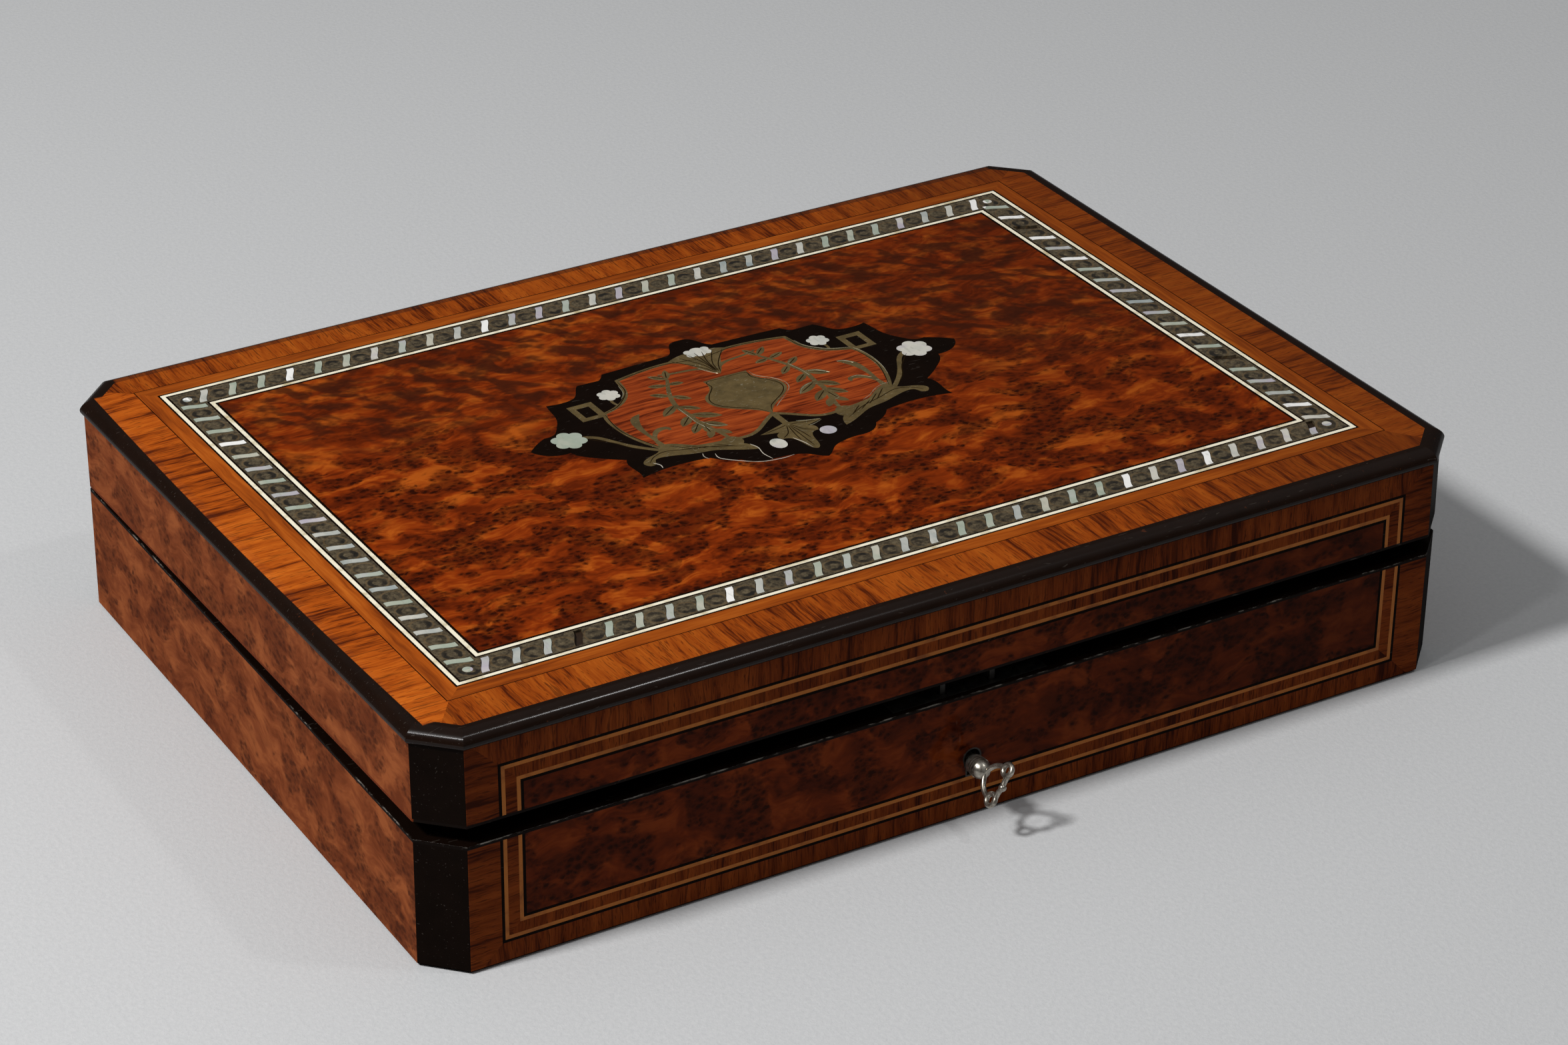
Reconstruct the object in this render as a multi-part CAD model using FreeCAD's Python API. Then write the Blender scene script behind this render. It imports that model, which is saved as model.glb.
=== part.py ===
import FreeCAD, Part
import math
import os

os.makedirs("parts", exist_ok=True)

V = FreeCAD.Vector

# Games box, in millimetres: X to the right, Y to the back, +Z up. The origin is the middle of
# the underside, on the table. The box stands as photographed, with its lid a little ajar.

# Overall sizes of the closed case
case_width = 330.0
case_depth = 235.0
base_height = 39.8
lid_height = 28.3
lid_gap = 0.2
lid_ajar = 1.28
corner_leg = 10.5
edge_round = 0.6
rim_round = 0.3

# Walls and boards
wall = 9.0
veneer = 0.8
corner_strip = 0.8
bottom_thick = 6.0
top_thick = 6.2
lipping = 1.0
foot_line = 1.0
foot_inset = 1.0

# Moulding round the edge of the lid's top
moulding_width = 4.6
moulding_height = 4.6
moulding_overhang = 0.9
moulding_flat = 0.8
moulding_crown = 2.6
moulding_shoulder = 0.7
moulding_tuck = 0.7

# Banding on the front faces, measured from each panel's own edges
front_side_margin = 9.4
base_bottom_margin = 5.6
lid_top_margin = 7.0
light_line = 1.1
dark_line = 0.9
front_band = 3.3

# Inlay on the lid's top: margins of the outer white line from the case's faces
border_left = 20.45
border_right = 21.05
border_front = 23.0
border_back = 19.4
white_line = 1.2
black_line = 0.6
inner_black_line = 0.8
glue_line = 0.3
straight_band = 5.0
pewter_width = 8.5

# Pearl bars in the pewter band
bars_long = 30
bars_short = 20
bar_end = 11.2
bar_length = 7.1
bar_width = 2.2
bar_lean = 3.0
bar_lean_left = 1.4
bar_lean_right = 2.6
bar_wave = 0.22
bar_recess = 0.15
lost_front_bar = 3
broken_front_bar = 29
lost_right_bars = (2, 14)
corner_dot_r = 1.4
corner_dot_in = 6.05

# Cartouche: its middle from the middle of the border
cartouche_x = 4.2
cartouche_turn = 0.5
frame_line = 1.3
petal_notch = 0.78

# Hinges
hinge_spacing = 190.0
hinge_length = 42.0
leaf_thick = 1.5
leaf_inside = 1.5
leaf_screw_edge = 3.0
knuckle_r = 2.0
knuckle_groove = 0.25
knuckle_count = 5
knuckle_gap = 0.1
hinge_back = 1.2
pin_r = 0.9
pin_clear = 0.1
stop_angle = 100.0
stop_reach = 4.5
stop_thick = 1.3
stop_clear = 0.05

# Screws
screw_r = 1.0
screw_head_r = 1.9
screw_length = 6.5
screw_slot_width = 0.5
screw_slot_depth = 0.4
lock_screw_length = 4.5

# Lock
front_skin = 1.8
lock_width = 50.0
lock_drop = 30.0
plate_thick = 1.2
selvedge_thick = 1.5
cap_width = 36.0
cap_drop = 28.0
cap_wall = 0.9
cap_clear = 0.6
drill_pin_r = 1.0
drill_pin_clear = 0.15
bolt_thick = 1.6
bolt_throw = 4.5
bit_bite = 1.0
bolt_bar_high = 8.0
bolt_guide_gap = 0.15
guide_thick = 1.2
talon_half = 3.6
post_width = 2.5
lug_x = 8.0
lug_thick = 1.6
lug_drop = 7.3
lug_clear = 0.4
finger_top = 3.2
finger_height = 2.0
finger_clear = 0.9
finger_grip = 0.2

# Key and keyhole
key_x = 0.0
key_z = 17.6
key_turn = 33.0
key_tip_gap = 0.3
barrel_r = 1.9
bit_reach = 3.9
bit_thick = 1.2
bit_side_gap = 0.5
collar_r = 3.0
collar_length = 7.0
collar_gap = 0.4
shoulder_r = 2.35
neck_r = 1.0
bow_ring_r = 1.65
bow_wire_r = 0.75
bow_out = 6.4
bow_half = 4.7
bow_knob_r = 1.1
keyhole_r = 2.5
keyhole_rise = 1.4
keyhole_side_clear = 0.9
keyhole_drop_clear = 0.2
barrel_clear = 0.3
liner_wall = 0.5
liner_depth = 2.0

# Inside: card wells in the middle, counter boxes at each side
well_width = 104.0
partition_thick = 4.0
partition_height = 22.0
box_clear = 0.6
box_height = 26.0
box_wall = 3.0
box_lid_thick = 3.2
plug_depth = 1.5
plug_clear = 0.3

# Values worked out from those above
half_w = case_width / 2
half_d = case_depth / 2
inner_w = half_w - wall
inner_d = half_d - wall
panel_half = half_w - corner_leg
lid_rim = base_height + lid_gap
lid_top = lid_rim + lid_height
board_low = foot_line
board_high = base_height - lipping
lid_board_low = lid_rim + lipping
veneer_low = lid_top - veneer
top_under = veneer_low - top_thick
moulding_low = lid_top - moulding_height
leaf_reach = wall - leaf_inside
leaf_screw_in = leaf_reach - leaf_screw_edge
hinge_y = half_d + hinge_back
hinge_z = base_height + lid_gap / 2
lock_face = -inner_d
lock_front = lock_face - wall + front_skin
cap_front = lock_front + cap_clear
works_front = cap_front + cap_wall
works_back = lock_face - plate_thick
works_y = (works_front + works_back) / 2
over = 1.0

made = {}


# Plain helpers

def polygon(points, z=0.0):
    corners = [V(x, y, z) for x, y in points]
    return Part.Face(Part.makePolygon(corners + corners[:1]))


def prism(points, low, high):
    return polygon(points, low).extrude(V(0, 0, high - low))


def rectangle(x0, x1, y0, y1):
    return [(x0, y0), (x1, y0), (x1, y1), (x0, y1)]


def block(x0, x1, y0, y1, z0, z1):
    return Part.makeBox(x1 - x0, y1 - y0, z1 - z0, V(x0, y0, z0))


def rod(radius, start, end):
    along = V(*end) - V(*start)
    return Part.makeCylinder(radius, along.Length, V(*start), along)


def fused(pieces):
    return pieces[0].fuse(pieces[1:]).removeSplitter()


def group(shapes):
    return Part.makeCompound([solid for shape in shapes for solid in shape.Solids])


def keep(name, shape):
    solids = shape.Solids
    made[name] = solids[0] if len(solids) == 1 else Part.makeCompound(solids)


def turned(shape, centre, axis, angle):
    moved = shape.copy()
    moved.rotate(V(*centre), V(*axis), angle)
    return moved


def mirrored(shape):
    return shape.mirror(V(0, 0, 0), V(1, 0, 0))


def screw(head, way, length, slotted=True):
    """Countersunk wood screw: the middle of its head's face, the way it is driven, its length."""
    at = V(*head)
    along = V(*way)
    straight = length - 2 * screw_r
    cone = Part.makeCone(screw_head_r, screw_r, screw_head_r - screw_r, at, along)
    shank = Part.makeCylinder(screw_r, straight, at, along)
    tip = Part.makeCone(screw_r, screw_r / 4, 2 * screw_r, at + along * straight, along)
    body = cone.fuse([shank, tip])
    if not slotted:
        return body
    slot = block(-screw_head_r - over, screw_head_r + over, -screw_slot_width / 2,
                 screw_slot_width / 2, -screw_slot_depth, screw_slot_depth)
    slot.Placement = FreeCAD.Placement(at, FreeCAD.Rotation(V(0, 0, 1), along))
    return body.cut(slot)


def octagon(inset, corner_inset=None):
    """Plan of the case with its chamfered corners, moved in by inset; the chamfers may differ."""
    if corner_inset is None:
        corner_inset = inset
    a = half_w - inset
    b = half_d - inset
    leg = a + b - (half_w + half_d - corner_leg - corner_inset * math.sqrt(2))
    return [(a, -b + leg), (a, b - leg), (a - leg, b), (-a + leg, b),
            (-a, b - leg), (-a, -b + leg), (-a + leg, -b), (a - leg, -b)]


# Carcass walls, mitred at the corners

carcass = octagon(veneer, corner_strip)
carcass_leg = half_w - veneer - carcass[2][0]
mitre = (2 * (wall - veneer) - carcass_leg) / 2
inside_plan = rectangle(-inner_w, inner_w, -inner_d, inner_d)


def upright_edges(solid):
    return [edge for edge in solid.Edges
            if math.hypot(edge.Vertexes[0].X - edge.Vertexes[-1].X,
                          edge.Vertexes[0].Y - edge.Vertexes[-1].Y) < 1e-6]


def rounded_case(low, high):
    """The whole plan of the case, its upright corners softened as on the real veneers."""
    solid = prism(octagon(0), low, high)
    return solid.makeFillet(edge_round, upright_edges(solid))


def wall_plan(inner_long, inner_short, outer_long, outer_short):
    """Plan of a wall that lies along X on the minus-Y side."""
    left = [(-inner_long, -inner_short), (-inner_long - mitre, -inner_short - mitre),
            (-outer_long + carcass_leg, -outer_short)]
    return left + [(-x, y) for x, y in reversed(left)]


front_plan = wall_plan(inner_w, inner_d, half_w - veneer, half_d - veneer)
left_plan = [(y, x) for x, y in wall_plan(inner_d, inner_w, half_d - veneer, half_w - veneer)]
wall_plans = {"front": front_plan, "back": [(x, -y) for x, y in front_plan],
              "left": left_plan, "right": [(-x, y) for x, y in left_plan]}


def hollowed(solid):
    box = solid.BoundBox
    return solid.cut(prism(inside_plan, box.ZMin - over, box.ZMax + over))


def rim_lipping(low, high, open_z):
    """Lipping round a rim, its outer edge softened at the parting, open_z."""
    solid = rounded_case(low, high)
    rim_edges = [edge for edge in solid.Edges
                 if all(abs(vertex.Z - open_z) < 1e-6 for vertex in edge.Vertexes)]
    return hollowed(solid.makeFillet(rim_round, rim_edges))


def corner_strips(low, high):
    outer = octagon(0)
    front_right = prism([outer[7], outer[0], carcass[0], carcass[7]], low, high)
    front_right = front_right.common(rounded_case(low, high))
    back_right = front_right.mirror(V(0, 0, 0), V(0, 1, 0))
    return group([front_right, back_right, mirrored(front_right), mirrored(back_right)])


# Keyhole

def keyhole_shape(grow, y0, y1):
    """Round top, slot below and a round place for the barrel, from y0 to y1."""
    top = key_z + keyhole_rise
    round_top = rod(keyhole_r + grow, (key_x, y0, top), (key_x, y1, top))
    barrel = rod(barrel_r + barrel_clear + grow, (key_x, y0, key_z), (key_x, y1, key_z))
    slot_half = bit_thick / 2 + keyhole_side_clear + grow
    slot = block(key_x - slot_half, key_x + slot_half, y0, y1,
                 key_z - bit_reach - keyhole_drop_clear - grow, top)
    return fused([round_top, barrel, slot])


keyhole = keyhole_shape(0.0, -half_d - over, lock_face)
liner_block = keyhole_shape(liner_wall, -half_d, -half_d + liner_depth)


# Hinges: butts let into both rims, with lips on the lid's knuckles that stop it when open

hinge_centres = (-hinge_spacing / 2, hinge_spacing / 2)


def knuckle_spans(centre, first):
    """Ends along X of every second knuckle, from the first one named."""
    segment = hinge_length / knuckle_count
    start = centre - hinge_length / 2
    return [(start + k * segment + knuckle_gap / 2, start + (k + 1) * segment - knuckle_gap / 2)
            for k in range(first, knuckle_count, 2)]


def barrel(radius, low, high):
    return rod(radius, (low, hinge_y, hinge_z), (high, hinge_y, hinge_z))


def leaf_screws(centre, rim, way, slotted=True):
    y = half_d - leaf_screw_in
    step = hinge_length / 3
    return [screw((centre + k * step, y, rim), (0, 0, way), screw_length, slotted)
            for k in (-1, 0, 1)]


def hinge_leaf(centre, rim, way, first, bore):
    """A leaf sunk into a rim, with its own knuckles and room for the other leaf's."""
    ends = sorted((rim, rim + way * leaf_thick))
    plate = block(centre - hinge_length / 2, centre + hinge_length / 2,
                  half_d - leaf_reach, hinge_y, ends[0], ends[1])
    others = [barrel(knuckle_r + knuckle_groove, a - knuckle_gap, b + knuckle_gap)
              for a, b in knuckle_spans(centre, 1 - first)]
    own = [barrel(knuckle_r, a, b) for a, b in knuckle_spans(centre, first)]
    body = plate.cut(others).fuse(own)
    return body.cut([barrel(bore, centre - hinge_length, centre + hinge_length)]
                    + leaf_screws(centre, rim, way, False))


def stop_lip(low, high):
    """Lip that meets the case's back when the lid stands open, turned back to the closed lid."""
    face = half_d + stop_clear
    lip = block(low, high, face, face + stop_thick, hinge_z - stop_reach, hinge_z)
    lip = lip.cut(barrel(pin_r + pin_clear, low - over, high + over))
    return turned(lip, (0, hinge_y, hinge_z), (1, 0, 0), stop_angle)


base_leaves = [hinge_leaf(x, base_height, -1, 0, pin_r) for x in hinge_centres]
lid_leaves = [hinge_leaf(x, lid_rim, 1, 1, pin_r + pin_clear).fuse(
    [stop_lip(a, b) for a, b in knuckle_spans(x, 1)]) for x in hinge_centres]
base_hinge_screws = [s for x in hinge_centres for s in leaf_screws(x, base_height, -1)]
lid_hinge_screws = [s for x in hinge_centres for s in leaf_screws(x, lid_rim, 1)]


def hinge_cuts(low, high):
    """Room in the wood for the leaves between two heights and for the knuckles."""
    cuts = []
    for x in hinge_centres:
        x0 = x - hinge_length / 2
        x1 = x + hinge_length / 2
        cuts.append(block(x0, x1, half_d - leaf_reach, half_d + over, low, high))
        cuts.append(barrel(knuckle_r + knuckle_groove, x0, x1))
    return cuts


base_back_cuts = hinge_cuts(base_height - leaf_thick, base_height + over)
lid_back_cuts = hinge_cuts(lid_rim - over, lid_rim + leaf_thick)


# Lock: plate and cap round the bolt, and the link plate in the lid

lock_low = base_height - lock_drop
cap_low = base_height - cap_drop
selvedge_low = base_height - selvedge_thick
bolt_front = works_y - bolt_thick / 2
bolt_back = works_y + bolt_thick / 2
bar_low = key_z + bit_reach - bit_bite
bar_high = key_z + bolt_bar_high
bar_guide_low = bar_low + (bar_high - bar_low) / 2


def centred(half, y0, y1, z0, z1):
    return block(key_x - half, key_x + half, y0, y1, z0, z1)


lug_places = (key_x - lug_x, key_x + lug_x)
lug_slots = [block(x - lug_thick / 2 - lug_clear, x + lug_thick / 2 + lug_clear, works_front,
                   works_back, selvedge_low - over, base_height + over) for x in lug_places]


def lock_screw_set(slotted=True):
    x = (lock_width + cap_width) / 4
    heights = (base_height - 2 * selvedge_thick - 2 * screw_head_r, lock_low + 2 * screw_head_r)
    return [screw((key_x + side * x, lock_face, z), (0, -1, 0), lock_screw_length, slotted)
            for side in (-1, 1) for z in heights]


finger_start = key_x - lug_x - lug_thick / 2 - finger_clear
finger_reach = bolt_throw - finger_clear + finger_grip
bolt_left = finger_start - finger_reach - post_width
bolt_right = -bolt_left - bolt_throw
rails = [block(bolt_left, key_x - bit_reach - over, bolt_front, works_back,
               bar_low - bolt_guide_gap - guide_thick, bar_low - bolt_guide_gap),
         block(key_x + bit_reach + over, -bolt_left, bolt_front, works_back,
               bar_low - bolt_guide_gap - guide_thick, bar_low - bolt_guide_gap),
         centred(guide_thick, bolt_back + bolt_guide_gap, works_back, bar_guide_low, bar_high),
         block(bolt_left, bolt_left + 6 * guide_thick, bolt_back + bolt_guide_gap, works_back,
               bar_guide_low, bar_high)]
lock_plate = fused([centred(lock_width / 2, works_back, lock_face, lock_low, base_height),
                    centred(lock_width / 2, lock_front, lock_face, selvedge_low, base_height),
                    rod(drill_pin_r, (key_x, works_back, key_z), (key_x, cap_front, key_z))]
                   + rails)
lock_plate = lock_plate.cut(lug_slots + lock_screw_set(False))

cap_half = cap_width / 2
lock_cap = centred(cap_half, cap_front, works_back, cap_low, selvedge_low)
lock_cap = lock_cap.cut([centred(cap_half - cap_wall, works_front, works_back + over,
                                 cap_low + cap_wall, selvedge_low + over),
                         keyhole_shape(0.0, cap_front - over, works_front + over / 2)])
lock_cap = lock_cap.fuse(block(bolt_left, -bolt_left, works_front, bolt_front - bolt_guide_gap,
                               bar_guide_low, bar_high))

bolt_parts = [block(bolt_left, bolt_right, bolt_front, bolt_back, bar_low, bar_high)]
for start in (finger_start, finger_start + 2 * lug_x):
    post_end = start - finger_reach
    top = base_height - finger_top
    bolt_parts.append(block(post_end - post_width, post_end, bolt_front, bolt_back,
                            bar_high - over, top))
    bolt_parts.append(block(post_end - over, start, bolt_front, bolt_back,
                            top - finger_height, top))
talon_x = key_x - bolt_throw / 2
talon = block(talon_x - talon_half, talon_x + talon_half, bolt_front - over, bolt_back + over,
              bar_low - over, key_z + bit_reach + over)
lock_bolt = fused(bolt_parts).cut(talon)
lock_bolt.translate(V(bolt_throw * key_turn / 360, 0, 0))

lock_mortise = [centred(lock_width / 2, works_back, lock_face + over, lock_low,
                        base_height + over),
                centred(lock_width / 2, lock_front, lock_face + over, selvedge_low,
                        base_height + over),
                centred(cap_half, cap_front, lock_face + over, cap_low, base_height + over)]

link_half = lock_width / 2
link_high = lid_rim + leaf_thick


def link_screw_set(slotted=True):
    y = (lock_front + lock_face) / 2
    return [screw((key_x + side * (link_half - 5 * screw_r), y, lid_rim), (0, 0, 1),
                  screw_length, slotted) for side in (-1, 1)]


lug_half = (works_back - works_front) / 2 - lug_clear
lugs = [block(x - lug_thick / 2, x + lug_thick / 2, works_y - lug_half, works_y + lug_half,
              lid_rim - lug_drop, link_high) for x in lug_places]
lug_holes = [block(x - lug_thick, x + lug_thick, bolt_front - bolt_guide_gap,
                   bolt_back + bolt_guide_gap, base_height - finger_top - finger_height - lug_clear,
                   base_height - finger_top + lug_clear) for x in lug_places]
link_plate = fused([centred(link_half, lock_front, lock_face, lid_rim, link_high)] + lugs)
link_plate = link_plate.cut(lug_holes + link_screw_set(False))
link_mortise = centred(link_half, lock_front, lock_face + over, lid_rim - over, link_high)


# Key: barrel, bit, ringed collar and openwork bow, turned a little in the lock

# Distance out from the collar's start, with the depth below its full radius there
collar_grooves = [(0.0, 0.5), (0.9, 0.15), (1.9, 0.15), (1.9, 0.45), (2.2, 0.45), (2.2, 0.0),
                  (2.8, 0.0), (2.8, 0.3), (3.1, 0.3), (3.1, 0.0), (3.7, 0.0), (3.7, 0.4),
                  (4.0, 0.4), (4.3, 0.1)]


def arc_tube(start, middle, end, radius):
    path = Part.Wire(Part.Arc(V(*start), V(*middle), V(*end)).toShape())
    edge = path.Edges[0]
    rim = Part.makeCircle(radius, V(*start), edge.tangentAt(edge.FirstParameter))
    return path.makePipeShell([Part.Wire(rim)], True, False)


def key_stem(collar_start, neck):
    """Revolved barrel, ringed collar and rounded shoulder, from the barrel's tip to the neck."""
    tip = works_back - key_tip_gap
    points = [(tip, 0.0), (tip, barrel_r), (collar_start, barrel_r)]
    points += [(collar_start - out, collar_r - groove) for out, groove in collar_grooves]
    line = [V(key_x, y, key_z + r) for y, r in points]
    shoulder = Part.Arc(line[-1], V(key_x, (line[-1].y + neck) / 2, key_z + shoulder_r),
                        V(key_x, neck, key_z + neck_r)).toShape()
    close = Part.makePolygon([V(key_x, neck, key_z + neck_r), V(key_x, neck, key_z), line[0]])
    wire = Part.Wire(Part.makePolygon(line).Edges + [shoulder] + close.Edges)
    return Part.Face(wire).revolve(V(key_x, 0, key_z), V(0, 1, 0), 360)


def key_bow(neck):
    """Two rings joined by scrolled arms and by a hollow bar with a knob in its middle."""
    ring_y = neck - bow_out
    bar_y = ring_y - bow_ring_r
    pieces = [Part.makeSphere(bow_knob_r, V(key_x, bar_y, key_z))]
    for side in (-1, 1):
        ring_z = key_z + side * bow_half
        pieces.append(Part.makeTorus(bow_ring_r, bow_wire_r, V(key_x, ring_y, ring_z),
                                     V(1, 0, 0)))
        pieces.append(arc_tube((key_x, neck + neck_r / 2, key_z),
                               (key_x, neck - 1.5, key_z + side * 3.4),
                               (key_x, ring_y + bow_ring_r, ring_z), bow_wire_r))
        pieces.append(arc_tube((key_x, bar_y, key_z),
                               (key_x, bar_y + 0.5, key_z + side * bow_half / 2),
                               (key_x, bar_y, ring_z), bow_wire_r))
    return pieces


collar_start = -half_d - collar_gap
neck = collar_start - collar_length
key_bit = centred(bit_thick / 2, works_front + bit_side_gap, works_back - key_tip_gap,
                  key_z - bit_reach, key_z - barrel_r + key_tip_gap)
key = key_stem(collar_start, neck).fuse([key_bit] + key_bow(neck))
key = key.cut(rod(drill_pin_r + drill_pin_clear, (key_x, works_back, key_z),
                  (key_x, lock_front, key_z)))
key = turned(key, (key_x, 0, key_z), (0, 1, 0), key_turn)


# Veneer on the fronts: a burr field inside lines and bands, open at the parting

def front_piece(points):
    corners = [V(x, -half_d, z) for x, z in points]
    return Part.Face(Part.makePolygon(corners + corners[:1])).extrude(V(0, veneer, 0))


def u_frame(x0, z0, x1, z1, open_z):
    """Left, right and lying strips between two nested outlines that are open at open_z."""
    right = [(x0, z0), (x1, z1), (x1, open_z), (x0, open_z)]
    lying = [(-x0, z0), (x0, z0), (x1, z1), (-x1, z1)]
    return [front_piece([(-x, z) for x, z in right]), front_piece(right), front_piece(lying)]


def front_crossband(edge_z, x1, z1, margin, open_z):
    """Outermost band, mitred at 45 degrees, its ends met by the corner strips."""
    far = panel_half + over
    low, high = sorted((edge_z, open_z))
    slab = prism([(-panel_half, -half_d), (panel_half, -half_d), carcass[7],
                  (-carcass[7][0], carcass[7][1])], low, high).common(rounded_case(low, high))
    right = [(far, edge_z), (x1 + margin, edge_z), (x1, z1), (x1, open_z), (far, open_z)]
    lying = [(-x1 - margin, edge_z), (x1 + margin, edge_z), (x1, z1), (-x1, z1)]
    return [front_piece([(-x, z) for x, z in right]).common(slab),
            front_piece(right).common(slab), front_piece(lying)]


def front_veneers(prefix, edge_z, open_z, margin, holes):
    """Crossband, lines, narrow band and burr field, from the panel's far edge inwards."""
    inward = 1 if open_z > edge_z else -1
    xs = [panel_half - front_side_margin]
    zs = [edge_z + inward * margin]
    for step in (dark_line, light_line, front_band, light_line, dark_line):
        xs.append(xs[-1] - step)
        zs.append(zs[-1] + inward * step)
    frames = [u_frame(xs[k], zs[k], xs[k + 1], zs[k + 1], open_z) for k in range(5)]
    bands = front_crossband(edge_z, xs[0], zs[0], margin, open_z) + frames[2]
    burr = front_piece([(-xs[5], zs[5]), (xs[5], zs[5]), (xs[5], open_z), (-xs[5], open_z)])
    inner_dark = fused(frames[4])
    if holes:
        burr = burr.cut(holes)
        inner_dark = inner_dark.cut(holes)
    keep(prefix + "_front_banding", group(bands))
    keep(prefix + "_front_dark_lines", group([fused(frames[0]), inner_dark]))
    keep(prefix + "_front_light_lines", group([fused(frames[1]), fused(frames[3])]))
    keep(prefix + "_front_burr", burr)


def side_veneers(low, high, back_cuts):
    """Plain veneer on the left, the right and the back."""
    right = prism([(half_w, -half_d + corner_leg), (half_w, half_d - corner_leg),
                   carcass[1], carcass[0]], low, high)
    back = prism([(panel_half, half_d), (-panel_half, half_d),
                  (-carcass[2][0], carcass[2][1]), carcass[2]], low, high)
    softened = rounded_case(low, high)
    right = right.common(softened)
    return group([right, mirrored(right), back.common(softened).cut(back_cuts)])


# Base of the case

keep("bottom_board", prism(inside_plan, 0, bottom_thick))
base_cuts = {"front": lock_mortise + [keyhole, liner_block] + lock_screw_set(False),
             "back": base_back_cuts + [s for x in hinge_centres
                                       for s in leaf_screws(x, base_height, -1, False)]}
lid_cuts = {"front": [link_mortise] + link_screw_set(False),
            "back": lid_back_cuts + [s for x in hinge_centres
                                     for s in leaf_screws(x, lid_rim, 1, False)]}
for side, plan in wall_plans.items():
    base_board = prism(plan, board_low, board_high)
    lid_board = prism(plan, lid_board_low, top_under)
    if side in base_cuts:
        base_board = base_board.cut(base_cuts[side])
        lid_board = lid_board.cut(lid_cuts[side])
    keep("base_" + side + "_board", base_board)
    keep("lid_" + side + "_board", lid_board)
keep("base_foot_line", hollowed(prism(octagon(foot_inset), 0, foot_line)))
keep("base_rim_lipping", rim_lipping(board_high, base_height, base_height).cut(
    base_back_cuts + lock_mortise))
keep("base_corner_strips", corner_strips(board_low, board_high))
front_veneers("base", board_low, board_high, base_bottom_margin, [keyhole, liner_block])
keep("base_side_veneers", side_veneers(board_low, board_high, base_back_cuts))
keep("keyhole_liner", liner_block.cut(keyhole))
keep("hinge_base_leaves", group(base_leaves))
keep("hinge_base_screws", group(base_hinge_screws))
keep("hinge_pins", group([barrel(pin_r, x - hinge_length / 2, x + hinge_length / 2)
                          for x in hinge_centres]))
keep("lock_plate", lock_plate)
keep("lock_cap", lock_cap)
keep("lock_bolt", lock_bolt)
keep("lock_screws", group(lock_screw_set()))
keep("key", key)


# Inside of the base: partitions, counter boxes and their lids

well_half = well_width / 2
floor = bottom_thick
partition_top = floor + partition_height

partitions = []
for side in (-1, 1):
    x = side * (well_half + partition_thick / 2)
    partitions.append(block(x - partition_thick / 2, x + partition_thick / 2,
                            -inner_d, inner_d, floor, partition_top))
cross_y = (inner_d - partition_thick) / 3 + partition_thick / 2
for y in (-cross_y, cross_y):
    partitions.append(block(-well_half, well_half, y - partition_thick / 2,
                            y + partition_thick / 2, floor, partition_top))
keep("card_partitions", group(partitions))

box_low = floor + box_height
for number, (sx, sy) in enumerate([(-1, -1), (1, -1), (-1, 1), (1, 1)], start=1):
    x0, x1 = sorted((sx * (well_half + partition_thick + box_clear),
                     sx * (inner_w - box_clear)))
    y0, y1 = sorted((sy * box_clear / 2, sy * (inner_d - box_clear)))
    outer = block(x0, x1, y0, y1, floor, box_low)
    hollow = block(x0 + box_wall, x1 - box_wall, y0 + box_wall, y1 - box_wall,
                   floor + box_wall, box_low + over)
    plug_in = box_wall + plug_clear
    panel = block(x0, x1, y0, y1, box_low, box_low + box_lid_thick)
    plug = block(x0 + plug_in, x1 - plug_in, y0 + plug_in, y1 - plug_in,
                 box_low - plug_depth, box_low)
    keep("counter_box_%d" % number, outer.cut(hollow))
    keep("counter_lid_%d" % number, panel.fuse(plug))


# Lid, drawn closed

keep("lid_rim_lipping", rim_lipping(lid_rim, lid_board_low, lid_rim).cut(
    lid_back_cuts + [link_mortise]))
keep("lid_top_board", fused([prism(carcass, top_under, moulding_low),
                             prism(octagon(moulding_width), moulding_low, veneer_low)]))
keep("lid_corner_strips", corner_strips(lid_board_low, moulding_low))
front_veneers("lid", moulding_low, lid_board_low, lid_top_margin, [])
keep("lid_side_veneers", side_veneers(lid_board_low, moulding_low, lid_back_cuts))
keep("hinge_lid_leaves", group(lid_leaves))
keep("hinge_lid_screws", group(lid_hinge_screws))
keep("link_plate", link_plate)
keep("link_screws", group(link_screw_set()))


def moulding_piece(number):
    """One mitred length of the half-round moulding, along one side of the octagon."""
    ends = [V(x, y, lid_top) for x, y in octagon(0)]
    start = ends[number]
    end = ends[(number + 1) % 8]
    along = (end - start).normalize()
    out = V(along.y, -along.x, 0)

    def at(n, z):
        return start - along * wall + out * n + V(0, 0, z)

    flat = moulding_flat - moulding_width
    crown = at(moulding_overhang, -moulding_crown)
    upper = Part.Arc(at(flat, 0), at(-moulding_shoulder, -moulding_shoulder), crown).toShape()
    lower = Part.Arc(crown, at(moulding_tuck, -(moulding_crown + 3 * moulding_height) / 4),
                     at(0, -moulding_height)).toShape()
    sides = Part.makePolygon([at(0, -moulding_height), at(-moulding_width, -moulding_height),
                              at(-moulding_width, 0), at(flat, 0)])
    profile = Part.Face(Part.Wire([upper, lower] + sides.Edges))
    length = profile.extrude(along * ((end - start).Length + 2 * wall))
    wide = octagon(-moulding_overhang - over)
    tight = octagon(moulding_width + over)
    follow = (number + 1) % 8
    wedge = prism([wide[number], wide[follow], tight[follow], tight[number]],
                  moulding_low - over, lid_top + over)
    return length.common(wedge)


keep("lid_edge_moulding", group([moulding_piece(k) for k in range(8)]))


# Top of the lid: flat outlines, made into veneer one thickness deep

border_x = (border_left - border_right) / 2
border_y = (border_front - border_back) / 2
border_a = half_w - (border_left + border_right) / 2
border_b = half_d - (border_front + border_back) / 2


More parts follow.
